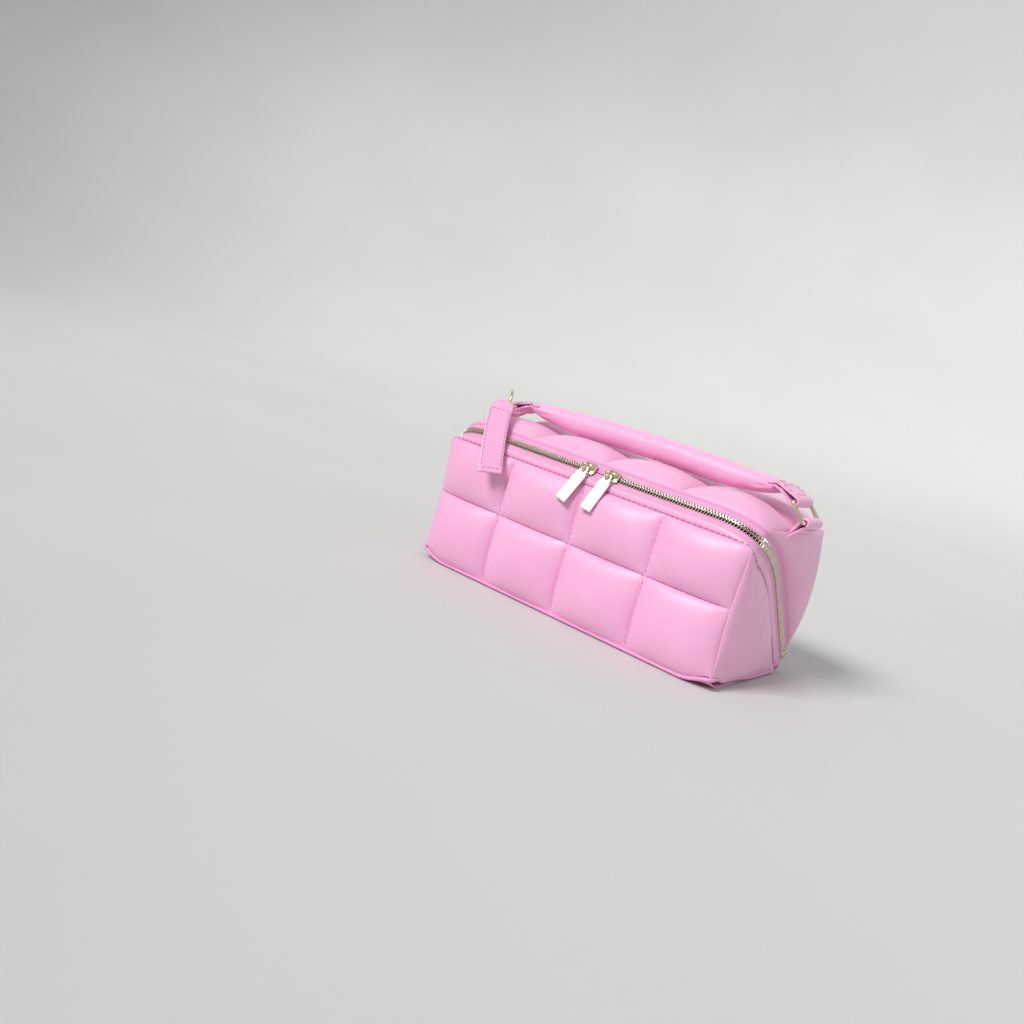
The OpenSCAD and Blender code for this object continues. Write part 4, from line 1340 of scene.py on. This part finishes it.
def cloth_waves(grid, seed, high):
    """Moves a lining's points a little, as loose cloth lies."""
    x, y, z = grid[..., 0], grid[..., 1], grid[..., 2]
    broad = slow_waves(x + 0.6 * y, z + 0.3 * y, seed, 45)
    return high * (broad + 0.5 * slow_waves(x - y, z, seed + 1, 18))


def lining_piece(name, grid, body, nodes, seed):
    n = len(grid)
    centre = grid.reshape(-1, 3).mean(0)
    normal = unit(np.cross(np.gradient(grid, axis=0), np.roll(grid, -1, 1) - np.roll(grid, 1, 1)))
    facing_in = np.sign((normal * (centre - grid)).sum(-1, keepdims=True))
    normal = normal * np.where(facing_in == 0, 1, facing_in)
    edge = smooth(np.minimum(np.arange(n) - 3, n - 1 - np.arange(n)) / 5)[:, None]
    moved = grid + normal * (0.6 * (1 + np.tanh(cloth_waves(grid, seed, 1.0))) * edge)[..., None]
    back = moved - normal * 0.6
    size = n * grid.shape[1]
    quads = grid_faces(n, grid.shape[1], wrap_columns=True)
    faces = [tuple(f) for f in quads] + [tuple(f[::-1] + size) for f in quads]
    m = grid.shape[1]
    for row in (0, n - 1):
        for j in range(m):
            a, b = row * m + j, row * m + (j + 1) % m
            faces.append((a, b, b + size, a + size))
    faces.append(tuple(range(m)))
    faces.append(tuple(size + j for j in range(m)))
    shape = Shape().add(np.concatenate([moved.reshape(-1, 3), back.reshape(-1, 3)]), faces)
    return piece(name, shape, LINING, body, nodes)


def base_lining():
    loop = plan_loop(HALF_L - 4.6, -HALF_D + 3.4, 51.5, 9)
    wall = np.where(loop[:, 1] < -44, FRONT_Z + 0.5, side_height(loop[:, 1], -8.2))
    wall = np.clip(wall, 7.0, FRONT_Z + 0.5)
    lining_piece("lining_of_base", tray(loop, 4.4, wall, 8, 1), "base", ["base_lining"], 71)


def lid_lining():
    ceiling = LID_Z - 9.6
    loop = plan_loop(HALF_L - 4.6, -43.0, HALF_D - 4.4, 9)
    wall = np.minimum(side_height(loop[:, 1], 11.0), ceiling - 0.6)
    back = loop[:, 1] > HALF_D - 7
    wall = np.where(back, HINGE_Z + 5, wall)
    wall = np.where(loop[:, 1] < -38, ceiling - 0.6, wall)
    grid = tray(loop, ceiling, wall, 8, -1)
    lining_piece("lining_of_lid", grid, "lid", ["lid_lining"], 81)


def pocket():
    """A flat pocket on the lid's back wall with a gathered elastic top."""
    x = np.linspace(-85, 85, 220)
    z = np.linspace(32, 84, 46)
    X, Z = np.meshgrid(x, z, indexing="ij")
    up = (Z - 32) / 52
    gather = smooth((up - 0.55) / 0.45) * smooth((85 - np.abs(X)) / 10)
    sag = 3.2 * np.sin(math.pi * (X + 85) / 170) * smooth(up * 1.4) * smooth((1.25 - up) * 3)
    ripple = 0.55 * gather * np.sin(X * 1.15 + 1.3 * np.sin(X * 0.21))
    ripple = ripple + 0.35 * slow_waves(X, Z, 91, 22) * smooth(up * 3)
    hem = 0.5 * np.exp(-((Z - 81.5) / 1.6) ** 2)
    Y = HALF_D - 7.6 - sag - 0.7 * ripple - hem
    outer = np.stack([X, Y, Z], -1)
    shape = Shape().slab(outer, outer + (0, 0.7, 0))
    obj = piece("pocket_cloth", shape, LINING, "lid", ["lid_pocket"])
    sewn = Shape()
    for x_side in (-84, 84):
        line = np.stack([np.full(60, x_side), np.full(60, HALF_D - 7.7), np.linspace(33, 83, 60)], -1)
        stitch_run(sewn, line, (0, -1, 0), lift=0.0, radius=0.25)
    for place in (-28.3, 28.3):
        k = int(np.argmin(np.abs(x - place)))
        stitch_run(sewn, outer[k, 1:-1], (0, -1, 0), lift=0.0, radius=0.25)
    stitch_run(sewn, outer[:, 1], (0, -1, 0), lift=0.0, radius=0.25)
    stitch_run(sewn, outer[:, -5], (0, -1, 0), lift=0.1, radius=0.25)
    piece("pocket_stitches", sewn, THREAD, "lid")


base_lining()
lid_lining()
pocket()


# ---- Camera, light and stage ----

def camera():
    """The photograph's view: from the right and a little above, rolled, about 35 mm."""
    data = bpy.data.cameras.new("camera")
    data.lens, data.sensor_width = 34.8, 36
    data.clip_start, data.clip_end = 0.01, 50
    obj = bpy.data.objects.new("camera", data)
    bpy.context.scene.collection.objects.link(obj)
    yaw, pitch, roll = math.radians(35.99), math.radians(10.17), math.radians(15.09)
    back = Vector((math.sin(yaw) * math.cos(pitch), -math.cos(yaw) * math.cos(pitch), math.sin(pitch)))
    right = (-back).cross(Vector((0, 0, 1))).normalized()
    up = right.cross(-back)
    turned = math.cos(roll) * right + math.sin(roll) * up
    upright = -math.sin(roll) * right + math.cos(roll) * up
    place = Matrix((turned, upright, back)).transposed().to_4x4()
    place.translation = Vector((0.3662, -0.6394, 0.1889))
    obj.matrix_world = place
    bpy.context.scene.camera = obj
    return turned, upright, back


def area_light(name, direction, distance, size, power, colour=(1, 1, 1)):
    data = bpy.data.lights.new(name, "AREA")
    data.shape, data.size, data.energy, data.color = "DISK", size, power, colour
    obj = bpy.data.objects.new(name, data)
    aim = Vector((0, 0, 0.06))
    obj.location = aim + Vector(direction).normalized() * distance
    obj.rotation_mode = "QUATERNION"
    obj.rotation_quaternion = (obj.location - aim).to_track_quat("Z", "Y")
    bpy.context.scene.collection.objects.link(obj)


def sun_light(name, direction, strength, spread, colour):
    data = bpy.data.lights.new(name, "SUN")
    data.energy, data.angle, data.color = strength, math.radians(spread), colour
    obj = bpy.data.objects.new(name, data)
    obj.location = Vector(direction).normalized() * 2
    obj.rotation_mode = "QUATERNION"
    obj.rotation_quaternion = Vector(direction).to_track_quat("Z", "Y")
    bpy.context.scene.collection.objects.link(obj)


def stage():
    """A pale floor that curves up into a round backdrop."""
    radii = polyline([(0.0, 0.0), (2100.0, 0.0), (3000.0, 900.0), (3000.0, 1900.0)], 60, 700)
    a = np.linspace(0, 2 * math.pi, 96, endpoint=False)
    rings = np.stack([radii[:, :1] * np.cos(a), radii[:, :1] * np.sin(a),
                      np.broadcast_to(radii[:, 1:], (len(radii), len(a)))], -1)
    shape = Shape()
    shape.add(rings, [tuple(f) for f in grid_faces(len(radii), len(a), wrap_columns=True)])
    look, tree, shader = new_look("stage_paper", Roughness=0.95, Specular_IOR_Level=0.1)
    paper = ramp(tree, noise(tree, 3, 2), srgb(206, 206, 205), srgb(209, 209, 208))
    tree.links.new(paper, shader.inputs["Base Color"])
    obj = shape.mesh("stage", look)
    obj.data.flip_normals()


view_right, view_up, view_back = camera()
key = view_up * 0.80 - view_right * 0.45 + view_back * 0.62
sun_light("key", key, strength=2.5, spread=20, colour=(1.0, 0.99, 0.975))
fill = view_back + view_right * 0.55 + view_up * 0.1
area_light("fill", fill, distance=2.2, size=1.6, power=2.4, colour=(0.97, 0.98, 1.0))
rim = -view_back * 0.8 + view_up * 0.9 + view_right * 0.3
area_light("rim", rim, distance=2.2, size=1.2, power=3)
stage()

world = bpy.data.worlds.new("studio")
bpy.context.scene.world = world
world.use_nodes = True
world.node_tree.nodes["Background"].inputs["Color"].default_value = (0.86, 0.87, 0.88, 1)
world.node_tree.nodes["Background"].inputs["Strength"].default_value = 0.56
bpy.context.scene.view_settings.view_transform = "Standard"
